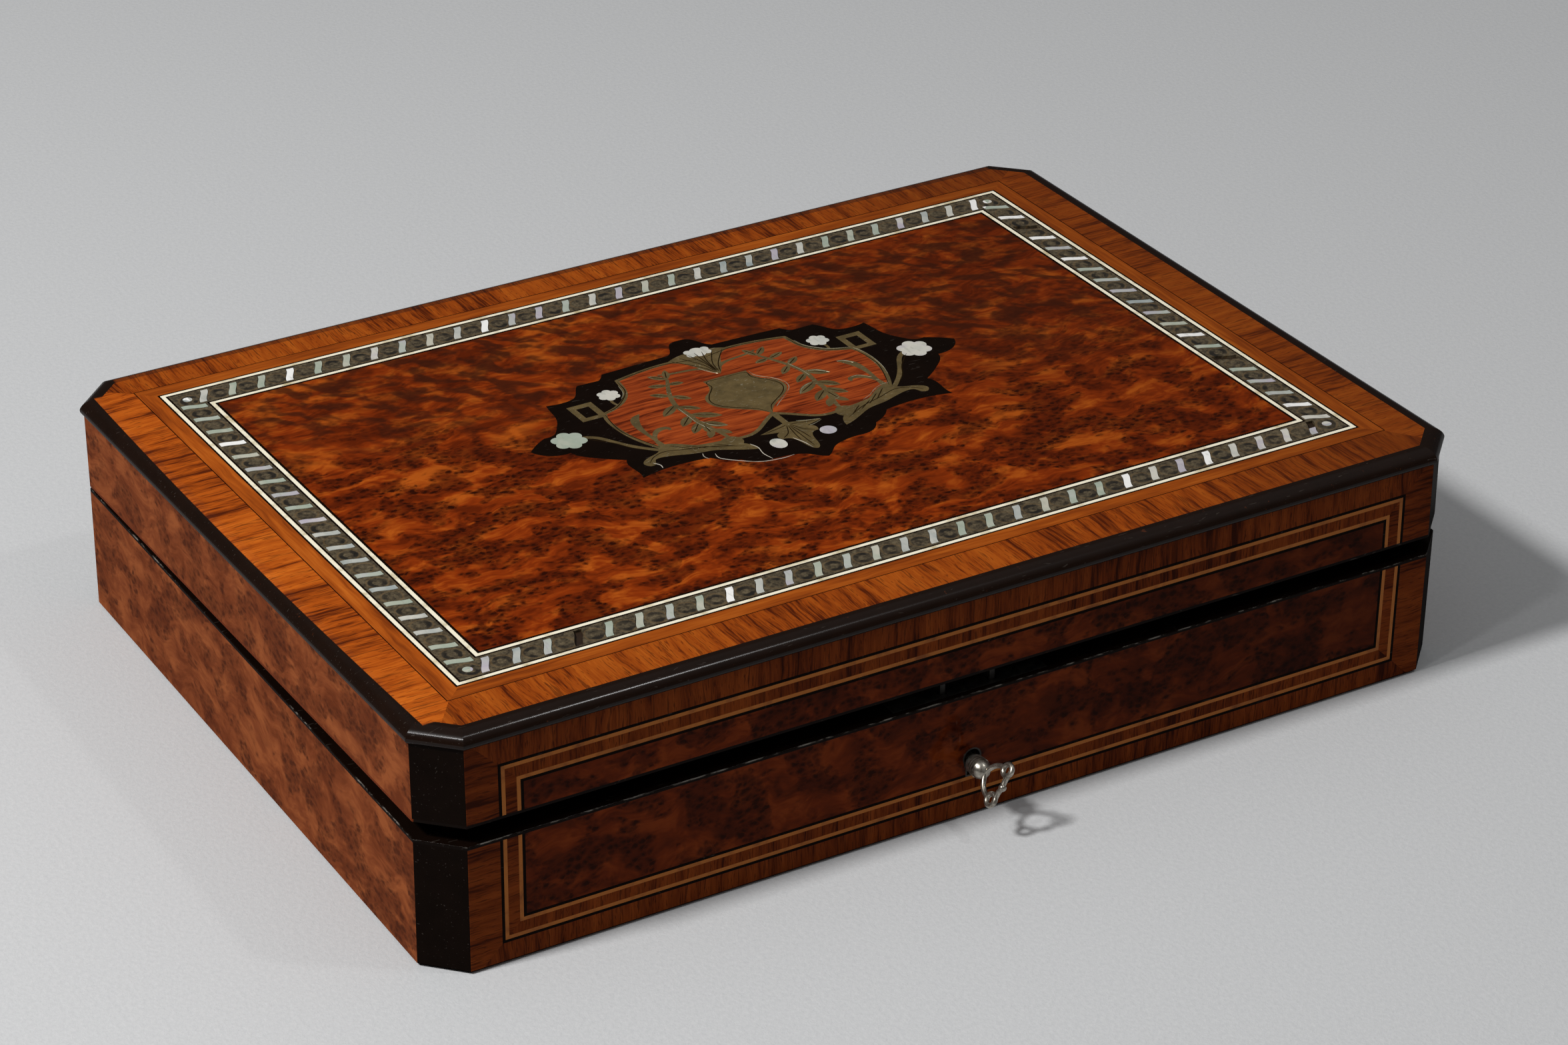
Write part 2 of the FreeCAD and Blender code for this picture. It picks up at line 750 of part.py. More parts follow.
def inlay(faces):
    solids = []
    for face in faces:
        for one in face.Faces:
            lifted = one.copy()
            lifted.translate(V(0, 0, veneer_low))
            solids += lifted.extrude(V(0, 0, veneer)).Solids
    return Part.makeCompound(solids)


def border_corners(inset):
    """Corners of the border rectangle moved in by inset, from front left round to back left."""
    a = border_a - inset
    b = border_b - inset
    return [(border_x + sx * a, border_y + sy * b)
            for sx, sy in ((-1, -1), (1, -1), (1, 1), (-1, 1))]


def border_ring(outer, inner):
    return polygon(border_corners(outer)).cut(polygon(border_corners(inner)))


def border_strips(outer, inner):
    """Four strips mitred at the corners: front, right, back and left."""
    far = border_corners(outer)
    near = border_corners(inner)
    return [polygon([far[k], far[(k + 1) % 4], near[(k + 1) % 4], near[k]]) for k in range(4)]


band_out = black_line + straight_band
cross_out = band_out + glue_line
pewter_out = white_line + black_line
pewter_in = pewter_out + pewter_width
white_in = pewter_in + black_line
black_in = white_in + white_line
field_in = black_in + inner_black_line

edge_octagon = octagon(moulding_width)
middles = [((edge_octagon[k][0] + edge_octagon[k - 1][0]) / 2,
            (edge_octagon[k][1] + edge_octagon[k - 1][1]) / 2) for k in (6, 0, 2, 4)]
band_corners = border_corners(-cross_out)
octagon_ends = [(edge_octagon[6], edge_octagon[7]), (edge_octagon[0], edge_octagon[1]),
                (edge_octagon[2], edge_octagon[3]), (edge_octagon[4], edge_octagon[5])]
crossbands = []
for k, (first, second) in enumerate(octagon_ends):
    follow = (k + 1) % 4
    crossbands.append(polygon([middles[k], first, second, middles[follow],
                               band_corners[follow], band_corners[k]]))
keep("top_crossbanding", inlay(crossbands))
keep("top_straight_banding", inlay(border_strips(-band_out, -black_line)))
keep("top_white_lines", inlay([border_ring(0, white_line), border_ring(white_in, black_in)]))
keep("top_black_lines", inlay([border_ring(-cross_out, -band_out), border_ring(-black_line, 0),
                               border_ring(white_line, pewter_out),
                               border_ring(pewter_in, white_in),
                               border_ring(black_in, field_in)]))


# Curved flat shapes

def spline(points):
    curve = Part.BSplineCurve()
    curve.interpolate([V(x, y, 0) for x, y in points])
    return curve.toShape()


def run_edges(runs):
    """Edges through runs of points; a run of two is straight, a longer one is a smooth curve."""
    edges = []
    for run in runs:
        if len(run) == 2:
            edges.append(Part.makeLine(V(*run[0], 0), V(*run[1], 0)))
        else:
            edges.append(spline(run))
    return edges


def outline(runs):
    return Part.Face(Part.Wire(run_edges(runs)))


def both_halves(runs):
    """Face whose right half is given from the top of the middle line to its bottom."""
    edges = run_edges(runs)
    edges += [edge.mirror(V(0, 0, 0), V(1, 0, 0)) for edge in edges]
    return Part.Face(Part.Wire(Part.__sortEdges__(edges)))


def ribbon(points, widths):
    """Curved strip along a centre line, its width given at each point."""
    curve = Part.BSplineCurve()
    curve.interpolate([V(x, y, 0) for x, y in points])
    sides = ([], [])
    for (x, y), width in zip(points, widths):
        tangent = curve.tangent(curve.parameter(V(x, y, 0)))[0]
        for side, sign in zip(sides, (1, -1)):
            side.append((x - sign * tangent.y * width / 2, y + sign * tangent.x * width / 2))
    left, right = sides
    edges = [spline(left), spline(right)]
    for first, second in ((left[0], right[0]), (left[-1], right[-1])):
        gap = V(*first, 0) - V(*second, 0)
        if gap.Length > 1e-6:
            edges.append(Part.makeLine(V(*first, 0), V(*second, 0)))
    return Part.Face(Part.Wire(Part.__sortEdges__(edges)))


def band(points, width):
    return ribbon(points, [width] * len(points))


def leaf_face(base, tip, width):
    """Pointed leaf between two arcs."""
    start = V(*base, 0)
    end = V(*tip, 0)
    along = end - start
    side = V(-along.y, along.x, 0).normalize() * (width / 2)
    middle = start + along * 0.5
    arcs = [Part.Arc(start, middle + side, end).toShape(),
            Part.Arc(end, middle - side, start).toShape()]
    return Part.Face(Part.Wire(arcs))


def flower(x, y, reach_x, reach_y, turn):
    """Six round petals, with notches between them."""
    def at(share, angle):
        return V(x + reach_x * share * math.cos(math.radians(angle)),
                 y + reach_y * share * math.sin(math.radians(angle)), 0)

    arcs = []
    for petal in range(6):
        angle = turn + 60 * petal
        arcs.append(Part.Arc(at(petal_notch, angle - 30), at(1.0, angle),
                             at(petal_notch, angle + 30)).toShape())
    return Part.Face(Part.Wire(arcs))


def disc(x, y, radius):
    return Part.Face(Part.Wire(Part.makeCircle(radius, V(x, y, 0))))


def tall_oval(x, y, half_x, half_y):
    ring = Part.Ellipse(V(x, y, 0), half_y, half_x).toShape()
    ring.rotate(V(x, y, 0), V(0, 0, 1), 90)
    return Part.Face(Part.Wire(ring))


# Pewter band with its pearl bars and corner dots

def bar(x, y, lean, grow, lying):
    """S-shaped bar with level ends, leaning to the right at the back, or turned by a quarter."""
    half = bar_length / 2 + grow
    across = bar_width / 2 + grow
    left = []
    for t, wave in ((-1.0, 0), (-0.5, -1), (0.0, 0), (0.5, 1), (1.0, 0)):
        left.append((x + t * lean / 2 + wave * bar_wave - across, y + t * half))
    right = [(px + 2 * across, py) for px, py in reversed(left)]
    face = outline([left, [left[-1], right[0]], right, [right[-1], left[0]]])
    if lying:
        face.rotate(V(x, y, 0), V(0, 0, 1), 90)
    return face


row_in = (pewter_out + pewter_in) / 2
row_a = border_a - bar_end
row_b = border_b - bar_end
pearls = []
recesses = []
for row, sign in ((0, -1), (2, 1)):
    for k in range(bars_long):
        x = border_x - row_a + 2 * row_a * k / (bars_long - 1)
        y = border_y + sign * (border_b - row_in)
        recesses.append((row, bar(x, y, bar_lean, bar_recess, False)))
        piece = bar(x, y, bar_lean, 0.0, False)
        if row == 0 and k == broken_front_bar:
            piece = piece.cut(polygon(rectangle(x - bar_length, x + bar_length, y,
                                                y + bar_length)))
        if not (row == 0 and k == lost_front_bar):
            pearls.append(piece)
for row, sign, lean in ((3, -1, bar_lean_left), (1, 1, bar_lean_right)):
    for k in range(bars_short):
        x = border_x + sign * (border_a - row_in)
        y = border_y + row_b - 2 * row_b * k / (bars_short - 1)
        recesses.append((row, bar(x, y, lean, bar_recess, True)))
        if not (row == 1 and k in lost_right_bars):
            pearls.append(bar(x, y, lean, 0.0, True))
dots = [disc(x, y, corner_dot_r) for x, y in border_corners(corner_dot_in)]
strips = border_strips(pewter_out, pewter_in)
pewter = [strip.cut([face for row, face in recesses if (row - k) % 4 != 2] + dots)
          for k, strip in enumerate(strips)]
keep("top_pewter_band", inlay(pewter))
keep("top_pearl_inlay", inlay(pearls + dots))


# Cartouche, drawn as its right half about its own middle line, x first and y to the back

ground_runs = [
    [(0, 52), (4, 50.3), (5.8, 46.5), (7.6, 44.6)],
    [(7.6, 44.6), (18, 44.3), (30.5, 43.8)],
    [(30.5, 43.8), (31.5, 42.2), (33, 40.7)],
    [(33, 40.7), (40.3, 40.9)],
    [(40.3, 40.9), (42.5, 37.5), (44.5, 34.6), (49, 33.3), (54.2, 34)],
    [(54.2, 34), (54.8, 30), (55.6, 25), (58.5, 19.5), (60.5, 17), (64.3, 16.2)],
    [(64.3, 16.2), (68.5, 13.5), (71.6, 10.7)],
    [(71.6, 10.7), (69.5, 7), (66.5, 5), (62, 4.4)],
    [(62, 4.4), (60.8, 1.5), (57.5, -2), (54.5, -4.6), (50.5, -7.5)],
    [(50.5, -7.5), (51.6, -11), (51.3, -15), (51.8, -19.5)],
    [(51.8, -19.5), (46.5, -18.2), (38, -17.6), (29.5, -18.6)],
    [(29.5, -18.6), (26.5, -21.8), (22.5, -24)],
    [(22.5, -24), (19.5, -27.4), (15.8, -28.4)],
    [(15.8, -28.4), (8, -29), (4.6, -30.6), (1.8, -33.5), (0, -34.8)]]
reserve_runs = [
    [(0, 38.3), (4, 39.6), (12, 40.3), (20, 39.6), (28.6, 37.8)],
    [(28.6, 37.8), (29.2, 33.5), (30.1, 30), (32.4, 26.3), (36, 23.4), (42, 21)],
    [(42, 21), (43.1, 17.5), (43.4, 12), (42.8, 6), (41.2, 0), (38.4, -6)],
    [(38.4, -6), (33, -9), (26, -11), (18, -12), (12, -12), (6, -8.2), (0, -3.8)]]
shield_runs = [
    [(0, 24.6), (7.3, 24.3)],
    [(7.3, 24.3), (7.6, 20), (11, 16)],
    [(11, 16), (12.8, 12.5), (12.3, 9), (9.5, 5.5), (5.5, 2.5), (2.5, 0), (0, -4.2)]]
fan_runs = [
    [(0, 43.2), (6.5, 42.4), (11, 40)],
    [(11, 40), (6.5, 37.5), (4.2, 33.5), (2.4, 30), (0, 26.5)]]
palmette_runs = [
    [(0, -10.5), (3, -11.5), (10.2, -13.8)],
    [(10.2, -13.8), (6.5, -14.8), (4.6, -15.2)],
    [(4.6, -15.2), (6.4, -17), (6, -19.2)],
    [(6, -19.2), (3.6, -20), (2.6, -22), (0, -29)]]
scroll_runs = [
    [(39.2, -4.2), (41, -8.2), (44.8, -9.6), (47.5, -12), (46.4, -14.4)],
    [(46.4, -14.4), (44.3, -13.6), (43.5, -11.8), (40, -11.4), (36, -12.6), (31, -14.2),
     (26.5, -15), (22, -17.2), (14.5, -20.8)],
    [(14.5, -20.8), (15.2, -17.8), (16.8, -15.5)],
    [(16.8, -15.5), (15.8, -12.8), (17.5, -10.2), (21, -10.6)],
    [(21, -10.6), (25.5, -11.2), (29, -9.6), (32.5, -6.8), (36.2, -4.6)],
    [(36.2, -4.6), (39.2, -4.2)]]
garland = [(15.5, 31), (18.5, 25), (20.8, 19), (21.8, 13), (21.3, 8), (21.3, 3), (20, -3),
           (18.6, -11)]
garland_leaves = [
    ((15.5, 31), (13.2, 36.8), 2.3), ((15.5, 31), (19.8, 35.6), 2.3), ((17, 28), (12.2, 27.0), 2.3),
    ((17.3, 27.5), (22.9, 29.6), 2.4), ((20, 21), (15.4, 16.6), 2.5), ((20, 21), (25.0, 24.8), 2.5),
    ((21.6, 15.5), (28.2, 10.5), 3.2), ((21.6, 14), (16.2, 9.6), 2.6), ((21.4, 8), (13.0, 2.8), 3.5),
    ((21.4, 7.5), (26.6, 2.2), 3.2), ((21, 2.5), (26.0, -3.2), 3.0), ((21, 2), (14.9, -3.6), 3.3),
    ((20.6, 1), (21.6, -5.4), 2.6), ((20, -3), (23.4, -8.0), 2.4), ((19.8, -3.5), (16.2, -8.4), 2.6)]

half_brass = [band(run, frame_line) for run in reserve_runs]
half_brass += [disc(run[-1][0], run[-1][1], frame_line / 2) for run in reserve_runs[:3]]
half_brass += [outline(scroll_runs),
               band([(38.8, -7.5), (43.3, -3), (46.2, 0.8), (48.3, 4.3), (50.5, 8), (56, 11.2)],
                    1.5),
               band([(35.6, 29), (36.4, 26.6), (35.8, 23.6)], 0.9),
               ribbon([(37.4, -6), (37.7, 3), (37.7, 8), (36.4, 13), (33.5, 15.6)],
                      (2.2, 1.3, 2.0, 2.6, 0.3)),
               ribbon([(37.2, -5.5), (36.2, 1.6), (33, 4.2), (31, 3.9), (30.6, 2.4)],
                      (1.6, 1.4, 1.9, 1.6, 0.8)),
               ribbon([(2, 31), (7, 33), (12, 33.6), (16.5, 35)], (1.8, 1.1, 1.0, 0.6)),
               ribbon(garland, (1.0, 1.3, 1.5, 1.6, 1.5, 1.7, 1.5, 1.3))]
half_brass += [leaf_face(base, tip, width) for base, tip, width in garland_leaves]
square_outer = polygon(rectangle(41.7, 49.8, 19.5, 29.8))
square_window = polygon(rectangle(43.7, 47.8, 21.4, 27.6))
half_brass.append(square_outer.cut(square_window))
middle_brass = [both_halves(shield_runs), both_halves(fan_runs), both_halves(palmette_runs),
                polygon(rectangle(-1.0, 1.0, -12, -3.2))]


def thick(face):
    return face.extrude(V(0, 0, veneer))


brass = fused([thick(face) for face in middle_brass + half_brass]
              + [thick(mirrored(face)) for face in half_brass])

cartouche_pearls = [flower(-58.8, 11.4, 5.3, 5.3, 32), flower(57.8, 11.2, 5.3, 5.3, 28),
                    flower(-35.2, 30.9, 3.5, 3.5, 20), flower(36, 30.7, 3.5, 3.5, 35),
                    flower(1.3, 42.3, 4.7, 2.9, 30), tall_oval(-8.3, -20.8, 2.4, 3.1),
                    disc(8.3, -20.8, 2.5)]
ground = thick(both_halves(ground_runs))
reserve = thick(both_halves(reserve_runs))
pearl_pieces = [thick(face) for face in cartouche_pearls]


def in_place(shape):
    moved = turned(shape, (0, 0, 0), (0, 0, 1), cartouche_turn)
    moved.translate(V(border_x + cartouche_x, border_y, veneer_low))
    return moved


field = prism(border_corners(field_in), veneer_low, lid_top)
keep("top_burr_field", field.cut(in_place(ground)))
keep("cartouche_ground", in_place(ground.cut([reserve, brass] + pearl_pieces)))
keep("cartouche_reserve", in_place(reserve.cut([brass] + pearl_pieces)))
keep("cartouche_brass", in_place(brass.cut(pearl_pieces)))
keep("cartouche_pearl", group([in_place(piece) for piece in pearl_pieces]))


# Turn the lid ajar and write every node

lid_starts = ("lid_", "top_", "cartouche_", "hinge_lid_", "link_")
for name, shape in made.items():
    if name.startswith(lid_starts):
        shape = turned(shape, (0, hinge_y, hinge_z), (-1, 0, 0), lid_ajar)
    shape.exportStep("parts/" + name + ".step")
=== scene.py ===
import bmesh
import bpy
import math
from mathutils import Matrix, Vector


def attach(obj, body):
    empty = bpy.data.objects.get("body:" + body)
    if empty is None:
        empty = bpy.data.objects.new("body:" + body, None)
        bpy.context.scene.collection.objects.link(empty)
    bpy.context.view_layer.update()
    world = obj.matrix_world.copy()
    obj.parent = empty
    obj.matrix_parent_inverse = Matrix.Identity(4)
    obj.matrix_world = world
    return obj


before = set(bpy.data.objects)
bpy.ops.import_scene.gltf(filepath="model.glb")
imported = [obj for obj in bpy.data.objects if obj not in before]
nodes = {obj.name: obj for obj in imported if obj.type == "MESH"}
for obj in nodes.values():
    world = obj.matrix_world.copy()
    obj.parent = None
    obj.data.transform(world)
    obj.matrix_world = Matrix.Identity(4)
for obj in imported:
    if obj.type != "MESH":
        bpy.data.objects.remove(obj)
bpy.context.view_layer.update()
scene = bpy.context.scene
MM = 0.001


# Measures of the box in mm that the finishes and the engraving follow

SIDE_FACE = 165.0
FRONT_FACE = 117.5
CANT_FACE = 272.0            # x and y added, on the canted corners
RIM_RUBBED = 39.35           # the base rim is rubbed above this
HINGE_Y = 118.7              # the line that the lid turns about
HINGE_Z = 39.9
LID_AJAR = math.radians(1.28)
LID_TOP = 68.3               # with the lid closed, like the next one
GLUE_FROM = 66.9             # the lid's board is dark with glue above this
BORDER_X = -0.3              # middle of the inlaid border
BORDER_Y = 1.8
BORDER_HALF_X = 144.25       # outer edges of its outer pale line
BORDER_HALF_Y = 96.3
CROSSBAND_X = 150.15         # inner edges of the crossbanding, from the border's middle
CROSSBAND_Y = 102.2
FRONT_MITRE = 1.354          # slopes of the crossbanding's mitres
BACK_MITRE = 0.787
FRONT_MITRE_X = 145.1        # inner corners of the crossbanding on the front
BASE_MITRE_Z = 6.6
LID_MITRE_Z = 61.98
CELL_LONG = 9.176            # pitch of the pearl bars in the long rows and in the short ones
CELL_SHORT = 8.958
ROW_IN = 6.05                # from the border's edge to the middle of a row
CARTOUCHE_X = 4.2            # the cartouche's middle, from the border's
CARTOUCHE_TURN = math.radians(0.5)
LEFT_FLOWER_END = -45.0      # the flower on the left lies left of this
ROUND_DOT = (12.3, -19.2, 71.1)
ROUND_DOT_REACH = 4.5


# Short calls for building a material's nodes

def linear(red, green, blue):
    """A colour written as it looks on a screen, 0 to 255, as the shader wants it."""
    def one(value):
        share = value / 255
        return share / 12.92 if share <= 0.04045 else ((share + 0.055) / 1.055) ** 2.4
    return (one(red), one(green), one(blue), 1.0)


class Shader:
    """One material: its Principled shader and the nodes that feed it. Places are in mm."""

    def __init__(self, name, **plain):
        self.material = bpy.data.materials.new(name)
        self.material.use_nodes = True
        self.tree = self.material.node_tree
        self.principled = self.tree.nodes["Principled BSDF"]
        for socket, value in plain.items():
            self.principled.inputs[socket.replace("_", " ")].default_value = value
        place = self.tree.nodes.new("ShaderNodeTexCoord").outputs["Object"]
        self.place = self.scaled(place, 1 / MM)
        self.x, self.y, self.z = self.split(self.place)

    def add(self, kind, inputs, **settings):
        node = self.tree.nodes.new("ShaderNode" + kind)
        for name, value in settings.items():
            setattr(node, name, value)
        for socket, value in inputs.items():
            self.put(node.inputs[socket], value)
        return node

    def put(self, socket, value):
        if isinstance(value, bpy.types.NodeSocket):
            self.tree.links.new(value, socket)
        else:
            socket.default_value = value

    def math(self, operation, first, *others):
        """The operation on the first number and each other one in turn."""
        result = first
        for other in others or (0.0,):
            result = self.add("Math", {0: result, 1: other}, operation=operation).outputs[0]
        return result

    def plus(self, *terms):
        return self.math("ADD", *terms)

    def minus(self, first, second):
        return self.math("SUBTRACT", first, second)

    def times(self, *factors):
        return self.math("MULTIPLY", *factors)

    def over(self, first, second):
        return self.math("DIVIDE", first, second)

    def absolute(self, value):
        return self.math("ABSOLUTE", value)

    def larger(self, first, second):
        return self.math("MAXIMUM", first, second)

    def blend(self, share, first, second):
        """The first number by its share, and the second by the rest."""
        return self.plus(self.times(first, share), self.times(second, 1 - share))

    def vector(self, operation, first, second):
        return self.add("VectorMath", {0: first, 1: second}, operation=operation).outputs["Vector"]

    def scaled(self, vector, factor):
        return self.add("VectorMath", {"Vector": vector, "Scale": factor},
                        operation="SCALE").outputs["Vector"]

    def distance(self, first, second):
        return self.add("VectorMath", {0: first, 1: second},
                        operation="DISTANCE").outputs["Value"]

    def split(self, vector):
        return self.add("SeparateXYZ", {0: vector}).outputs[:3]

    def join(self, x, y, z):
        return self.add("CombineXYZ", {0: x, 1: y, 2: z}).outputs[0]

    def stretch(self, vector, x, y, z):
        return self.vector("MULTIPLY", vector, (x, y, z))

    def offset(self, vector, x, y, z):
        return self.vector("ADD", vector, (x, y, z))

    def turned(self, vector, angle):
        """Turned about the upright axis."""
        return self.add("VectorRotate", {"Vector": vector, "Angle": angle},
                        rotation_type="Z_AXIS").outputs[0]

    def step(self, value, low, high):
        """0 below low, 1 above high and smooth between; low may be the larger."""
        return self.add("MapRange", {"Value": value, "From Min": low, "From Max": high},
                        interpolation_type="SMOOTHSTEP").outputs["Result"]

    def noise(self, vector, size, detail=2.0, roughness=0.5, colour=False):
        """Cloudy noise about 0.5, its features about size mm across."""
        node = self.add("TexNoise", {"Vector": vector, "Scale": 1 / size, "Detail": detail,
                                     "Roughness": roughness})
        return node.outputs["Color" if colour else "Fac"]

    def warp(self, vector, size, reach):
        """Moves the pattern about by reach mm, over features of size mm."""
        shift = self.vector("SUBTRACT", self.noise(vector, size, colour=True), (0.5, 0.5, 0.5))
        return self.vector("ADD", vector, self.scaled(shift, 2 * reach))

    def ramp(self, value, stops):
        """Colour by value; stops are pairs of place and colour."""
        node = self.add("ValToRGB", {"Fac": value})
        elements = node.color_ramp.elements
        while len(elements) < len(stops):
            elements.new(0.5)
        for element, (place, colour) in zip(elements, stops):
            element.position = place
            element.color = colour
        return node.outputs["Color"]

    def mix(self, share, first, second):
        """The first colour where share is 0 and the second where it is 1."""
        return self.add("Mix", {0: share, 6: first, 7: second}, data_type="RGBA").outputs[2]

    def choose(self, share, first, second):
        """The same for numbers."""
        return self.add("Mix", {0: share, 2: first, 3: second}).outputs[0]

    def bump(self, height, depth):
        """Height from 0 to 1 stands for depth mm."""
        return self.add("Bump", {"Height": height, "Distance": depth * MM,
                                 "Strength": 1.0}).outputs["Normal"]

    def finish(self, colour, roughness=None, normal=None):
        self.put(self.principled.inputs["Base Color"], colour)
        for socket, value in (("Roughness", roughness), ("Normal", normal)):
            if value is not None:
                self.put(self.principled.inputs[socket], value)
        return self.material


def polish_ripple(shader):
    """The faint unevenness of an old hand polish."""
    return shader.bump(shader.noise(shader.place, size=9.0), 0.01)


# Burr veneer: flowing orange wood, clusters of small dark eyes, and soft dark strokes

EYE_SIZE = 1.8


def drawn_out(shader, vector, long_way, along, across):
    """Scaled by along on the axis numbered long_way and by across on the other two."""
    return shader.stretch(vector, *[along if way == long_way else across for way in range(3)])


def clear_wood(shader, flow, long_way, tones):
    """The wood between the eyes: wide clouds of tone and fine fibres."""
    wide = shader.noise(drawn_out(shader, flow, long_way, 0.55, 1.1), size=8.0, detail=3.0,
                        roughness=0.55)
    fibre = shader.noise(drawn_out(shader, flow, long_way, 0.14, 1.2), size=1.6, roughness=0.6)
    return shader.ramp(shader.blend(0.74, wide, fibre),
                       [(0.37, tones[0]), (0.50, tones[1]), (0.63, tones[2])])


def burr_eyes(shader, place, long_way):
    """Dark dots of many sizes, each with a soft edge."""
    wobble = shader.warp(shader.warp(place, size=5.0, reach=1.6), size=1.0, reach=0.45)
    wobble = drawn_out(shader, wobble, long_way, 0.74, 1.15)
    cell = shader.add("TexVoronoi", {"Vector": wobble, "Scale": 1 / EYE_SIZE})
    radius = shader.choose(shader.split(cell.outputs["Color"])[0], 0.12, 0.62)
    reach = shader.minus(cell.outputs["Distance"], radius)
    halo = shader.times(shader.step(reach, 0.40, -0.05), 0.55)
    return shader.larger(shader.step(reach, 0.2, -0.3), halo)


def soft_strokes(shader, place, soft, colour, stroke_and_shade):
    """Slanting strokes where soft is high, a deeper tone there, and painted shade towards the
    right.
    """
    slanted = shader.turned(shader.warp(place, size=16.0, reach=6.0), 0.7)
    mark = shader.noise(shader.stretch(slanted, 0.5, 1.0, 1.0), size=5.0)
    mark = shader.times(shader.step(mark, 0.42, 0.62), soft, 0.8)
    colour = shader.mix(mark, colour, stroke_and_shade)
    # painted shade: the tone deepens towards the right end, in the stroke colour
    painted_shade_on_right = shader.times(shader.step(shader.x, -20.0, 130.0), 0.22)
    return shader.mix(shader.plus(shader.times(soft, 0.12), painted_shade_on_right), colour, stroke_and_shade)


def burr(name, tones, ground, eye, stroke_and_shade, knots=0.0, long_way=0, seed=0.0, depth=1.0,
         gloss=0.16, strokes=None, painted_right_shade=0.0):
    """Tones run from the deepest to the lightest of the clear wood. Knots adds to what has
    eyes, long_way is the axis of the grain, and depth is how strong the dark parts are.
    Strokes, where given, tells from the place how much is drawn in soft strokes, and there the
    stroke colour also serves as painted shade towards the right. The last argument sets how strong
    a painted shade on the right end is."""
    shader = Shader(name, Roughness=0.42, Coat_Weight=gloss, Coat_Roughness=0.1,
                    Specular_IOR_Level=0.0)
    place = shader.offset(shader.place, seed, seed, seed)
    flow = shader.warp(shader.warp(place, size=34.0, reach=10.0), size=11.0, reach=3.6)
    colour = clear_wood(shader, flow, long_way, tones)
    spread = drawn_out(shader, shader.offset(flow, 17.0, 51.0, 9.0), long_way, 0.75, 1.15)
    island = shader.noise(spread, size=10.5, detail=3.0, roughness=0.55)
    crowd = shader.step(island, 0.445 - knots, 0.53 - knots)
    shade = shader.step(island, 0.43 - knots, 0.60 - knots)
    soft = strokes(shader) if strokes else None
    share = shader.choose(soft, depth, 0.45 * depth) if strokes else depth
    colour = shader.mix(shader.times(shade, 0.75, share), colour, ground)
    eyes = shader.times(burr_eyes(shader, place, long_way), crowd, share)
    colour = shader.mix(eyes, colour, eye)
    if strokes:
        colour = soft_strokes(shader, place, soft, colour, stroke_and_shade)
    # painted shade: the right end darker
    if painted_right_shade:
        on_right = shader.times(shader.step(shader.x, -60.0, 150.0), painted_right_shade)
        colour = shader.mix(on_right, colour, linear(20, 8, 4))
    return shader.finish(colour, normal=polish_ripple(shader))


def towards_back(shader):
    """The strokes take over towards the back of the top."""
    slant = shader.plus(shader.times(shader.x, 0.22), shader.y)
    return shader.step(slant, -15.0, 45.0)


def top_burr():
    return burr("thuya_burr_top", (linear(86, 27, 3), linear(125, 45, 6), linear(161, 76, 18)),
                linear(72, 21, 3), linear(39, 9, 2), linear(47, 19, 8), knots=0.012,
                strokes=towards_back)


def side_burr():
    return burr("thuya_burr_side",
                (linear(96, 45, 22), linear(118, 60, 31), linear(138, 75, 40)),
                linear(86, 40, 20), linear(60, 27, 14), linear(66, 28, 12), knots=-0.02,
                long_way=1, seed=140.0, depth=0.75, gloss=0.05)


def front_burr():
    return burr("thuya_burr_front",
                (linear(70, 25, 7), linear(92, 34, 9), linear(112, 47, 15)),
                linear(56, 18, 6), linear(32, 9, 3), linear(50, 18, 7), seed=290.0,
                # painted shade on the right end
                depth=0.9, gloss=0.08, painted_right_shade=0.45)


# Bandings: straight grain across or along each strip

NUMBERED_FROM = 900.0        # keeps the numbers of the pieces above 0


def grain(shader, along, across, third):
    """Fine streaks that run along the second direction: broad and thin ones, and dark pores."""
    place = shader.warp(shader.join(along, across, third), size=12.0, reach=0.9)
    wide = shader.noise(shader.stretch(place, 1.0, 0.09, 0.09), size=3.4)
    thin = shader.noise(shader.stretch(place, 1.0, 0.06, 0.06), size=0.8, roughness=0.6)
    pore = shader.noise(shader.stretch(place, 1.0, 0.13, 0.13), size=0.42, detail=1.0,
                        roughness=0.6)
    return wide, thin, pore


def banded_wood(shader, along, across, third, tones, piece=46.0):
    """Sawn strips laid end to end: streaks square to the run, each piece its own tone. Tones
    are dark, middle and light, and a piece is so many mm long."""
    dark, middle, light = tones
    wide, thin, pore = grain(shader, along, across, third)
    number = shader.math("FLOOR", shader.over(shader.plus(along, NUMBERED_FROM), piece))
    own = shader.add("TexWhiteNoise", {"W": number}, noise_dimensions="1D").outputs["Value"]
    tone = shader.plus(shader.blend(0.5, wide, thin), shader.times(shader.minus(own, 0.5), 0.10))
    colour = shader.ramp(tone, [(0.36, dark), (0.47, middle), (0.66, light)])
    colour = shader.mix(shader.times(shader.step(thin, 0.56, 0.66), 0.7), colour, dark)
    return shader.mix(shader.times(shader.step(pore, 0.62, 0.72), 0.6), colour, dark)


def painted_banding_shade(shader, colour, on_side, most, front):
    """Painted shade: deepens a banding's colour on the runs at the front and back, and towards the
    right.
    """
    colour = shader.mix(shader.choose(on_side, front, 0.0), colour, linear(60, 20, 3))
    place = shader.plus(shader.x, shader.times(shader.noise(shader.place, size=30.0), 60.0))
    share = shader.times(shader.step(place, 80.0, 190.0), most)
    return shader.mix(share, colour, linear(66, 28, 9))


def past_edges(shader):
    """How far out a place lies from the crossbanding's inner edges, sideways and to the front
    or back."""
    side_way = shader.minus(shader.absolute(shader.minus(shader.x, BORDER_X)), CROSSBAND_X)
    front_way = shader.minus(shader.absolute(shader.minus(shader.y, BORDER_Y)), CROSSBAND_Y)
    return side_way, front_way


